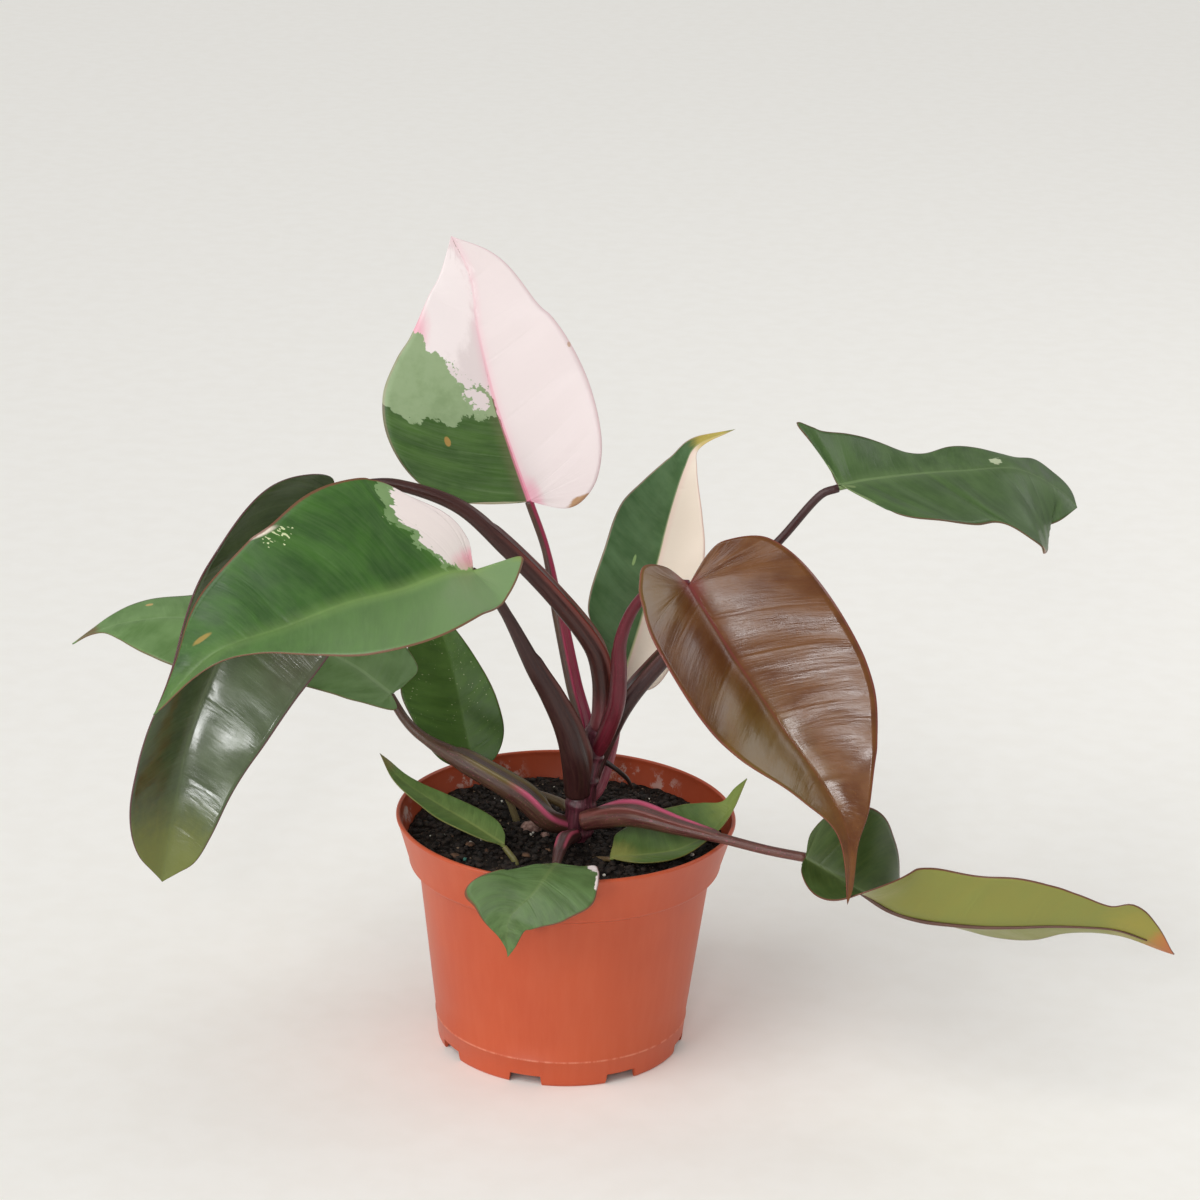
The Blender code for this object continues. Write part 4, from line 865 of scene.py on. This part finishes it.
# the rib stands proud under each blade and narrows to the tip
keel = {"sunk": 0.85, "behind": 0.35, "radius": 1.2, "tipRadius": 0.25, "fullLength": 110, "steps": 12}
for name, leaf in leaves.items():
    ribs = ribFrame(leaf)
    size = min(1.0, ribs["length"] / keel["fullLength"])
    wide = keel["radius"] * size * (0.75 if name in ("far_left", "cream_rear") else 1.0)
    away = keel["sunk"] * np.linspace(wide, keel["tipRadius"], len(ribs["points"])) + keel["behind"]
    steps = (ribs["points"] - ribs["face"] * away[:, None])[:: leafGrid["ribSamples"] // keel["steps"]]
    radii = np.linspace(wide, keel["tipRadius"], len(steps))
    places, uv = sweep(steps[:-1], radii[:-1], *roundGrid["keel"], -ribs["face"][0], None)
    look = leafLooks[leaf["look"]]
    body, shade = leaf.get("keel", (look["rib"], look["under"]))
    tone = {"body": body, "shade": shade, "strip": look["edge"]}
    mesh = gridMesh("keel_" + name, places, {"round": uv}, outward=True)
    newPiece("keel_" + name, mesh, [petioleSkin("leaf_rib_" + name, tone)])
print("stalks and ribs made")

stem = {
    "points": [(4, -4, 84), (5, -4, 98), (6, -4, 112), (8, -3, 126), (12, -1, 142), (15, 0, 155)],
    "radii": [6.8, 6.8, 6.5, 6.1, 5.4, 4.4], "rings": (0.22, 0.4, 0.56, 0.72, 0.86), "ringHeight": 0.12,
    "body": "#3A1C22", "shade": "#6A3440", "strip": "#9A5468",
}


def stemSection(share, angle):
    bulge = sum(math.exp(-((share - at) / 0.02) ** 2) for at in stem["rings"])
    lumps = 0.04 * np.sin(3 * angle + 9 * share) + 0.02 * np.sin(5 * angle - 14 * share)
    return 1 + stem["ringHeight"] * bulge + lumps - 0.03


places, uv = sweep(stem["points"], stem["radii"], *roundGrid["stem"], np.array([0, -1.0, 0]), stemSection)
mesh = gridMesh("stem", places, {"round": uv}, outward=True)
newPiece("stem", mesh, [petioleSkin("waxy_stem", stem)], "main_stem")

thinParts = {
    "aerial_root": ([(13, 2, 132), (19, 4, 128), (26, 7, 121), (29, 9, 115)], [1.3, 1.2, 1.0, 0.5],
                    {"body": "#1E1614", "shade": "#33241E", "strip": "#4A382C"}),
    "dry_petiole_left": ([(-22, 15, 86), (-22, 15, 95), (-28, 14, 110)], [1.6, 1.8, 0.8],
                         {"body": "#6A5C40", "shade": "#8A7D58", "strip": "#A39873"}),
    "dry_petiole_right": ([(-13, 17, 86), (-13, 17, 95), (-21, 17, 108)], [1.6, 1.8, 0.8],
                          {"body": "#5C4A36", "shade": "#7F6E4C", "strip": "#A39873"}),
}


def witheredSection(share, angle):
    return 1 + 0.16 * np.sin(2 * angle + 5 * share) + 0.1 * np.sin(5 * angle - 11 * share)


for name, (points, radii, look) in thinParts.items():
    places, uv = sweep(points, radii, *roundGrid["withered"], np.array([0, -1.0, 0]), witheredSection)
    mesh = gridMesh("withered_" + name, places, {"round": uv}, outward=True)
    newPiece("withered_" + name, mesh, [petioleSkin("dry_stalk_" + name, look)], name)
print("stem and withered parts made")


# The pot

pot = {
    "rimRadius": 75.0, "height": 106.7, "collarRadius": 69.0, "collarHeight": 86.0, "bodyRadius": 64.6,
    "bodyHeight": 82.0, "ringRadius": 56.2, "ringHeight": 12.0, "footRadius": 55.0, "wall": 1.2,
    "underside": 3.2, "bossRadius": 13.0, "segments": 160, "notches": 8, "firstNotch": -105.0,
    "notchSize": (9.0, 16.0), "notchHeight": 4.6, "notchTaper": 0.86, "drains": 6, "drainRadius": 3.5,
    "drainCircle": 32.0, "drainDepth": 14.0, "drainMiddle": 4.0, "lip": 0.95, "sharp": 40.0,
}


def bodyRadius(height):
    share = (height - pot["ringHeight"]) / (pot["bodyHeight"] - pot["ringHeight"])
    return pot["ringRadius"] + share * (pot["bodyRadius"] - pot["ringRadius"])


def innerRadius(height):
    if height < pot["bodyHeight"]:
        return bodyRadius(height) - pot["wall"]
    share = (height - pot["collarHeight"]) / (pot["height"] - pot["collarHeight"])
    return pot["collarRadius"] + share * (pot["rimRadius"] - pot["collarRadius"]) - pot["wall"]


def potProfile():
    # from the middle of the floor up the inside, over the rolled lip and down the outside
    top, plate = pot["height"], pot["underside"] + pot["wall"]
    body, collar = pot["bodyHeight"], pot["collarHeight"]
    points = [(0, plate), (bodyRadius(plate) - pot["wall"] - 1.2, plate), (innerRadius(plate + 1.5), plate + 1.5)]
    points += [(innerRadius(z), z) for z in (30, 55, body - 1.5)]
    points += [(innerRadius(body - 1.5) + 1.4, body + 0.6), (innerRadius(collar + 1.5) - 0.2, collar + 0.6)]
    points += [(innerRadius(z), z) for z in (collar + 2.5, 96, top - 3)]
    lip = pot["lip"]
    centre = (pot["rimRadius"] - lip, top - lip)
    for degrees in range(190, -31, -20):
        turn = math.radians(degrees)
        points.append((centre[0] + lip * math.cos(turn), centre[1] + lip * math.sin(turn)))
    points += [(pot["rimRadius"] - 0.75, top - 2.6), (pot["collarRadius"] + 0.35, collar + 1.4)]
    for degrees in range(0, 91, 18):
        turn = math.radians(degrees)
        points.append((pot["collarRadius"] - 1.2 + 1.4 * math.cos(turn), collar + 0.2 - 1.9 * math.sin(turn)))
    points += [(bodyRadius(body) + 0.5, body + 0.7), (bodyRadius(body), body - 0.9)]
    points += [(bodyRadius(z), z) for z in (60, 40, 25)]
    ring, ringAt = pot["ringRadius"], pot["ringHeight"]
    points += [(ring + 0.05, ringAt + 0.9), (ring + 0.35, ringAt + 0.35), (ring + 0.35, ringAt - 0.1)]
    points += [(ring + 0.05, ringAt - 0.5), (pot["footRadius"] + 0.35, 2.0), (pot["footRadius"] + 0.1, 0.7)]
    points += [(pot["footRadius"] - 0.5, 0.05), (pot["footRadius"] - 0.9, 0), (pot["footRadius"] - 1.5, 0.15)]
    points += [(pot["footRadius"] - 1.6, 0.6), (pot["footRadius"] - 1.6, pot["underside"])]
    points += [(pot["bossRadius"] + 1, pot["underside"]), (pot["bossRadius"] + 0.3, 0.3), (pot["bossRadius"], 0)]
    return points + [(0, 0)]


def makePot():
    bm = bmesh.new()
    verts = [bm.verts.new((radius * mm, 0, height * mm)) for radius, height in potProfile()]
    edges = [bm.edges.new(pair) for pair in zip(verts, verts[1:])]
    bmesh.ops.spin(
        bm, geom=verts + edges, cent=(0, 0, 0), axis=(0, 0, 1), angle=2 * math.pi, steps=pot["segments"],
        use_merge=True,
    )
    bmesh.ops.remove_doubles(bm, verts=bm.verts, dist=0.01 * mm)
    bmesh.ops.recalc_face_normals(bm, faces=bm.faces)
    mesh = bpy.data.meshes.new("nursery_pot")
    bm.to_mesh(mesh)
    bm.free()
    blank = bpy.data.objects.new("pot_blank", mesh)
    scene.collection.objects.link(blank)
    bm = bmesh.new()
    for i in range(pot["notches"]):
        notch = bmesh.ops.create_cube(bm, size=mm)["verts"]
        depth, width = pot["notchSize"]
        bmesh.ops.scale(bm, verts=notch, vec=(depth, width, 2 * pot["notchHeight"]))
        bmesh.ops.translate(bm, verts=notch, vec=(pot["footRadius"] * mm, 0, 0))
        bmesh.ops.scale(bm, verts=[vert for vert in notch if vert.co.z > 0], vec=(1, pot["notchTaper"], 1))
        turn = Matrix.Rotation(math.radians(pot["firstNotch"] + 360 / pot["notches"] * i), 3, "Z")
        bmesh.ops.rotate(bm, verts=notch, cent=(0, 0, 0), matrix=turn)
    for i in range(pot["drains"]):
        radius, reach = pot["drainRadius"] * mm, pot["drainCircle"] * mm
        turn = 2 * math.pi * i / pot["drains"]
        drain = bmesh.ops.create_cone(
            bm, cap_ends=True, segments=32, radius1=radius, radius2=radius, depth=pot["drainDepth"] * mm
        )
        where = (reach * math.cos(turn), reach * math.sin(turn), pot["drainMiddle"] * mm)
        bmesh.ops.translate(bm, verts=drain["verts"], vec=where)
    cuts = bpy.data.meshes.new("pot_cuts")
    bm.to_mesh(cuts)
    bm.free()
    cutter = bpy.data.objects.new("pot_cuts", cuts)
    scene.collection.objects.link(cutter)
    modifier = blank.modifiers.new("cuts", "BOOLEAN")
    modifier.operation = "DIFFERENCE"
    modifier.object = cutter
    bpy.context.view_layer.update()
    finished = bpy.data.meshes.new_from_object(blank.evaluated_get(bpy.context.evaluated_depsgraph_get()))
    for obj in (blank, cutter):
        bpy.data.objects.remove(obj)
    finished.materials.clear()
    return finished


def mouldedPlastic():
    # injection-moulded polypropylene: satin, with faint flow streaks, a paler ring at the foot, hard-water stains
    # inside and painted shade on the inside wall
    material, tree, shader = newMaterial("moulded_polypropylene")
    place = addNode(tree, "ShaderNodeTexCoord", {}, "Object")
    height = addNode(tree, "ShaderNodeSeparateXYZ", {0: place}, 2)
    clouds = addNode(tree, "ShaderNodeTexNoise", {"Vector": place, "Scale": 14.0, "Detail": 3.0})
    way = addNode(tree, "ShaderNodeMapping", {"Vector": place, "Scale": (260.0, 260.0, 25.0)})
    flow = addNode(tree, "ShaderNodeTexNoise", {"Vector": way, "Scale": 1.0, "Detail": 4.0, "Roughness": 0.6})
    weight = addNode(tree, "ShaderNodeMapRange", {**smooth, 0: clouds, 1: 0.35, 2: 0.65})
    base = addNode(tree, "ShaderNodeMix", {
        **colours, 0: weight, 6: hexColor("#B84B27"), 7: hexColor("#C1532D"),
    }, 2)
    weight = addNode(tree, "ShaderNodeMapRange", {**smooth, 0: flow, 1: 0.35, 2: 0.75, 3: 0.0, 4: 0.06})
    base = addNode(tree, "ShaderNodeMix", {**colours, 0: weight, 6: base, 7: hexColor("#E08460")}, 2)
    # the raised ring at the foot is paler, in a patchy band 0.8 mm wide
    ringOff = addNode(tree, "ShaderNodeMath", {"operation": "SUBTRACT", 0: height, 1: (pot["ringHeight"] + 0.2) * mm})
    ringOff = addNode(tree, "ShaderNodeMath", {"operation": "ABSOLUTE", 0: ringOff})
    ringOff = addNode(tree, "ShaderNodeMapRange", {**smooth, 0: ringOff, 1: 0.6 * mm, 2: 0.2 * mm, 3: 0.0, 4: 0.35})
    paleRing = addNode(tree, "ShaderNodeMapRange", {**smooth, 0: flow, 1: 0.35, 2: 0.6})
    paleRing = addNode(tree, "ShaderNodeMath", {"operation": "MULTIPLY", 0: paleRing, 1: ringOff})
    base = addNode(tree, "ShaderNodeMix", {**colours, 0: paleRing, 6: base, 7: hexColor("#EBA488")}, 2)
    # painted shade: the inside wall, told by its normal pointing at the axis, is darkened
    normal = addNode(tree, "ShaderNodeNewGeometry", {}, "Normal")
    facing = addNode(tree, "ShaderNodeVectorMath", {"operation": "DOT_PRODUCT", 0: normal, 1: place}, "Value")
    inside = addNode(tree, "ShaderNodeMapRange", {**smooth, 0: facing, 1: 0.0, 2: -0.02})
    level = addNode(tree, "ShaderNodeVectorMath", {"operation": "MULTIPLY", 0: place, 1: (1.0, 1.0, 0.0)})
    reach = addNode(tree, "ShaderNodeVectorMath", {"operation": "LENGTH", 0: level}, "Value")
    outer = addNode(tree, "ShaderNodeMapRange", {**smooth, 0: reach, 1: 60 * mm, 2: 64 * mm})
    inside = addNode(tree, "ShaderNodeMath", {"operation": "MULTIPLY", 0: inside, 1: outer})
    weight = addNode(tree, "ShaderNodeMath", {"operation": "MULTIPLY", 0: inside, 1: 0.3})
    base = addNode(tree, "ShaderNodeMix", {**colours, 0: weight, 6: base, 7: hexColor("#8A3A24")}, 2)
    # stains sit in a band over the soil: 3 to 8 mm patches with broken edges
    stain = addNode(tree, "ShaderNodeTexNoise", {"Vector": place, "Scale": 150.0, "Detail": 5.0, "Roughness": 0.7})
    stain = addNode(tree, "ShaderNodeMapRange", {**smooth, 0: stain, 1: 0.5, 2: 0.6, 3: 0.0, 4: 0.8})
    spread = addNode(tree, "ShaderNodeTexNoise", {"Vector": place, "Scale": 22.0, "Detail": 1.0})
    spread = addNode(tree, "ShaderNodeMapRange", {**smooth, 0: spread, 1: 0.42, 2: 0.6})
    low = addNode(tree, "ShaderNodeMapRange", {**smooth, 0: height, 1: 94 * mm, 2: 97 * mm})
    high = addNode(tree, "ShaderNodeMapRange", {**smooth, 0: height, 1: 105 * mm, 2: 101 * mm})
    for mask in (spread, low, high, inside):
        stain = addNode(tree, "ShaderNodeMath", {"operation": "MULTIPLY", 0: stain, 1: mask})
    base = addNode(tree, "ShaderNodeMix", {**colours, 0: stain, 6: base, 7: hexColor("#DCCEC6")}, 2)
    rough = addNode(tree, "ShaderNodeMapRange", {**smooth, 0: clouds, 1: 0.3, 2: 0.7, 3: 0.36, 4: 0.46})
    rough = addNode(tree, "ShaderNodeMath", {"operation": "MULTIPLY_ADD", 0: stain, 1: 0.3, 2: rough})
    pebble = addNode(tree, "ShaderNodeTexNoise", {"Vector": place, "Scale": 900.0, "Detail": 2.0})
    bump = addNode(tree, "ShaderNodeBump", {"Distance": 0.03 * mm, "Height": pebble})
    setShader(tree, shader, {
        "Base Color": base, "Roughness": rough, "IOR": 1.49, "Subsurface Weight": 0.05,
        "Subsurface Radius": (0.004, 0.001, 0.0005), "Normal": bump,
    })
    return material


potPiece = newPiece("nursery_pot", makePot(), [mouldedPlastic()], "pot")
potPiece.data.set_sharp_from_angle(angle=math.radians(pot["sharp"]))
print("pot made")


# The peat, with crumbs, perlite and bark on it

soil = {
    "height": 95.0, "crown": 1.2, "rings": 95, "around": 260, "bottom": 5.0, "gap": 0.4,
    "sides": (88, 80, 40),  # heights that the buried side bends at
    "lumps": ((1 / 15, 1.5), (1 / 6, 1.1), (1 / 2.6, 0.6)),  # each as lumps for a millimetre, and their height
}


def soilHeight(x, y):
    edge = innerRadius(soil["height"])
    level = soil["height"] + soil["crown"] * (1 - (x * x + y * y) / edge**2)
    return level + sum(size * noise.noise(Vector((x * rate, y * rate, 4.0 * i)))
                       for i, (rate, size) in enumerate(soil["lumps"]))


def makeSoil():
    edge = innerRadius(soil["height"]) - soil["gap"]
    profile = [(edge * ring / soil["rings"], None) for ring in range(soil["rings"] + 1)]
    low = soil["bottom"]
    profile += [(innerRadius(z) - soil["gap"], z) for z in soil["sides"]]
    profile += [(bodyRadius(low) - pot["wall"] - 1.7, low), (0, low)]
    places = np.zeros((len(profile), soil["around"] + 1, 3))
    for i, (radius, height) in enumerate(profile):
        for j in range(soil["around"] + 1):
            turn = 2 * math.pi * (j % soil["around"]) / soil["around"]
            x, y = radius * math.cos(turn), radius * math.sin(turn)
            places[i, j] = (x, y, soilHeight(x, y) if height is None else height)
    return gridMesh("peat", places, {}, outward=True)


def peatSurface():
    # moist sphagnum peat: almost black, fibrous and dull, with brown fibres that catch the light
    material, tree, shader = newMaterial("moist_peat")
    place = addNode(tree, "ShaderNodeTexCoord", {}, "Object")
    # clods of about 3 mm, fibres 1 by 4 mm
    clods = addNode(tree, "ShaderNodeTexNoise", {"Vector": place, "Scale": 300.0, "Detail": 6.0, "Roughness": 0.7})
    way = addNode(tree, "ShaderNodeMapping", {"Vector": place, "Scale": (900.0, 260.0, 500.0)})
    fibre = addNode(tree, "ShaderNodeTexNoise", {"Vector": way, "Scale": 1.0, "Detail": 3.0, "Roughness": 0.6})
    weight = addNode(tree, "ShaderNodeMapRange", {**smooth, 0: clods, 1: 0.38, 2: 0.7})
    base = addNode(tree, "ShaderNodeMix", {
        **colours, 0: weight, 6: hexColor("#120D0A"), 7: hexColor("#2E221A"),
    }, 2)
    weight = addNode(tree, "ShaderNodeMapRange", {**smooth, 0: fibre, 1: 0.62, 2: 0.7, 3: 0.0, 4: 0.7})
    base = addNode(tree, "ShaderNodeMix", {**colours, 0: weight, 6: base, 7: hexColor("#66503E")}, 2)
    rough = addNode(tree, "ShaderNodeMapRange", {**smooth, 0: clods, 1: 0.3, 2: 0.7, 3: 0.95, 4: 0.65})
    bump = addNode(tree, "ShaderNodeBump", {"Distance": 1.4 * mm, "Height": clods})
    setShader(tree, shader, {
        "Base Color": base, "Roughness": rough, "Specular IOR Level": 0.25, "Normal": bump,
    })
    return material


def grainMaterial(name, dark, light, rough):
    # dull broken grains: two tones in 2 mm blotches, and a pitted surface
    material, tree, shader = newMaterial(name)
    place = addNode(tree, "ShaderNodeTexCoord", {}, "Object")
    tone = addNode(tree, "ShaderNodeTexNoise", {"Vector": place, "Scale": 420.0, "Detail": 4.0, "Roughness": 0.6})
    weight = addNode(tree, "ShaderNodeMapRange", {**smooth, 0: tone, 1: 0.35, 2: 0.65})
    base = addNode(tree, "ShaderNodeMix", {**colours, 0: weight, 6: hexColor(dark), 7: hexColor(light)}, 2)
    bump = addNode(tree, "ShaderNodeBump", {"Distance": 0.5 * mm, "Height": tone})
    setShader(tree, shader, {"Base Color": base, "Roughness": rough, "Normal": bump})
    return material


# how many lumps, the range of their half widths, how flat they lie, how far they sink, how finely they are split,
# and where a few known ones lie: half width, place and flatness
strewn = {
    "peat_crumbs": {"count": 3000, "sizes": (0.3, 2.2), "flat": 0.6, "sunk": 0.25, "seed": 3, "split": 1,
                    "tones": ("#110C0A", "#33271F"), "rough": 0.85},
    "pale_crumbs": {"count": 260, "sizes": (0.25, 0.9), "flat": 0.5, "sunk": 0.1, "seed": 11, "split": 1,
                    "tones": ("#6B5645", "#9A8570"), "rough": 0.9},
    "perlite": {"count": 42, "sizes": (0.35, 1.0), "flat": 0.9, "sunk": 0.1, "seed": 8, "split": 2,
                "tones": ("#CFC8BA", "#F2EEE4"), "rough": 0.85},
    "bark_chips": {"count": 26, "sizes": (1.0, 3.0), "flat": 0.35, "sunk": 0.2, "seed": 5, "split": 2,
                   "tones": ("#4A3326", "#7A5A42"), "rough": 0.8},
    "pink_bark": {"count": 0, "known": [(4.6, -15, 1, 0.55), (2.0, -9, -2, 0.6)], "seed": 6, "split": 3,
                  "flat": 0.5, "sunk": 0.15, "tones": ("#7B5B52", "#B9968A"), "rough": 0.85},
    "green_bead": {"count": 0, "known": [(1.0, -43, -31, 0.9)], "seed": 7, "split": 2, "flat": 0.9, "sunk": 0.1,
                   "tones": ("#2E6B60", "#5F9C8C"), "rough": 0.6},
}


# how many shapes a kind of lump has, how far they are knocked about, how far they tilt, how much narrower than
# long they get, and how far from the wall they keep, in mm
strewing = {"shapes": 8, "knocked": 0.8, "tilt": 0.8, "narrow": 0.4, "keepOff": 3}


def strew(name, lumps):
    # knocked-about balls, turned, squashed and sunk a little into the peat
    rng = np.random.default_rng(lumps["seed"])
    shapes = []
    for _ in range(strewing["shapes"]):
        ball = bmesh.new()
        bmesh.ops.create_icosphere(ball, subdivisions=lumps["split"], radius=mm)
        for vert in ball.verts:
            vert.co *= 1 + strewing["knocked"] * (rng.random() - 0.5) / lumps["split"] ** 0.7
        bmesh.ops.recalc_face_normals(ball, faces=ball.faces)
        shapes.append(bpy.data.meshes.new("lump"))
        ball.to_mesh(shapes[-1])
        ball.free()
    edge = innerRadius(soil["height"]) - strewing["keepOff"]
    spots = list(lumps.get("known", []))
    for _ in range(lumps["count"]):
        reach, turn = edge * math.sqrt(rng.random()), rng.random() * 2 * math.pi
        size = lumps["sizes"][0] + (lumps["sizes"][1] - lumps["sizes"][0]) * rng.random() ** 2
        spots.append((size, reach * math.cos(turn), reach * math.sin(turn), lumps["flat"]))
    bm = bmesh.new()
    for size, x, y, flatness in spots:
        z = soilHeight(x, y) + size * flatness * (1 - 2 * lumps["sunk"])
        turn = Matrix.Rotation(rng.random() * 6.3, 4, "Z")
        turn = turn @ Matrix.Rotation(strewing["tilt"] * (rng.random() - 0.5), 4, "X")
        narrow = 1 - strewing["narrow"] + strewing["narrow"] * rng.random()
        squash = Matrix.Diagonal((size, size * narrow, size * flatness, 1))
        lump = shapes[int(rng.random() * len(shapes))].copy()
        lump.transform(Matrix.Translation(Vector((x, y, z)) * mm) @ turn @ squash)
        bm.from_mesh(lump)
        bpy.data.meshes.remove(lump)
    mesh = bpy.data.meshes.new(name)
    bm.to_mesh(mesh)
    bm.free()
    for shape in shapes:
        bpy.data.meshes.remove(shape)
    newPiece(name, mesh, [grainMaterial(name + "_grain", *lumps["tones"], lumps["rough"])])


newPiece("peat", makeSoil(), [peatSurface()], "soil")
for name, lumps in strewn.items():
    strew(name, lumps)
print("soil made")


# Floor, light and camera

studio = {
    "floor": "#FCFAF5", "floorSpeck": "#E2DACA", "floorRough": 0.8, "floorSize": 6.0,
    "world": "#FAFAF9", "worldStrength": 0.46, "target": (0.0, 0.0, 0.15),
    # a wide hazy sun from the left: strength, spread, bearing from the front and height in degrees
    "sun": {"strength": 1.55, "spread": 45.0, "bearing": -52.0, "height": 42.0, "place": (-2.0, -2.0, 3.0)},
    # each soft box: where it hangs, power in watts, width and height in metres
    "boxes": {
        "low_window": ((-0.85, -1.7, 0.2), 5.0, 0.22, 0.32),
        "front_box": ((-0.2, -1.87, 0.99), 4.5, 0.3, 0.2),
        "right_box": ((1.49, 0.51, 1.38), 6.0, 1.0, 0.8),
    },
}


def makeFloor():
    # matt painted board: pale, with a faint speckle
    bm = bmesh.new()
    bmesh.ops.create_grid(bm, x_segments=1, y_segments=1, size=studio["floorSize"])
    mesh = bpy.data.meshes.new("floor")
    bm.to_mesh(mesh)
    bm.free()
    material, tree, shader = newMaterial("matt_painted_board")
    place = addNode(tree, "ShaderNodeTexCoord", {}, "Object")
    speck = addNode(tree, "ShaderNodeTexNoise", {"Vector": place, "Scale": 60.0, "Detail": 4.0})
    weight = addNode(tree, "ShaderNodeMapRange", {**smooth, 0: speck, 1: 0.3, 2: 0.7, 3: 0.0, 4: 0.08})
    base = addNode(tree, "ShaderNodeMix", {
        **colours, 0: weight, 6: hexColor(studio["floor"]), 7: hexColor(studio["floorSpeck"]),
    }, 2)
    setShader(tree, shader, {"Base Color": base, "Roughness": studio["floorRough"]})
    mesh.materials.append(material)
    floor = bpy.data.objects.new("floor", mesh)
    scene.collection.objects.link(floor)


def hangLight(light, place, away):
    # away points from the subject to the light
    lamp = bpy.data.objects.new(light.name, light)
    lamp.location = place
    lamp.rotation_euler = Vector(away).to_track_quat("Z", "Y").to_euler()
    lamp.visible_camera = False  # from behind, a lamp would stand in front of the plant
    scene.collection.objects.link(lamp)


makeFloor()
world = bpy.data.worlds.new("studio")
scene.world = world
world.use_nodes = True
background = world.node_tree.nodes["Background"]
background.inputs["Color"].default_value = hexColor(studio["world"])
background.inputs["Strength"].default_value = studio["worldStrength"]
for name, (place, power, width, height) in studio["boxes"].items():
    light = bpy.data.lights.new(name, "AREA")
    light.shape = "RECTANGLE"
    light.energy, light.size, light.size_y = power, width, height
    hangLight(light, place, Vector(place) - Vector(studio["target"]))
sun = bpy.data.lights.new("hazy_sun", "SUN")
sun.energy, sun.angle = studio["sun"]["strength"], math.radians(studio["sun"]["spread"])
bearing, height = math.radians(studio["sun"]["bearing"]), math.radians(studio["sun"]["height"])
away = (math.sin(bearing) * math.cos(height), -math.cos(bearing) * math.cos(height), math.sin(height))
hangLight(sun, studio["sun"]["place"], away)

lens = {"place": (0.0121, -1.3062, 0.6554), "tilt": 71.02, "roll": 1.75, "focal": 96.0, "sensor": 36.0}
camera = bpy.data.cameras.new("camera")
camera.lens = lens["focal"]
camera.sensor_width = lens["sensor"]
cameraObject = bpy.data.objects.new("camera", camera)
turn = Matrix.Rotation(math.radians(lens["tilt"]), 4, "X") @ Matrix.Rotation(math.radians(lens["roll"]), 4, "Z")
cameraObject.matrix_world = Matrix.Translation(lens["place"]) @ turn
scene.collection.objects.link(cameraObject)
scene.camera = cameraObject
print("floor, light and camera made")
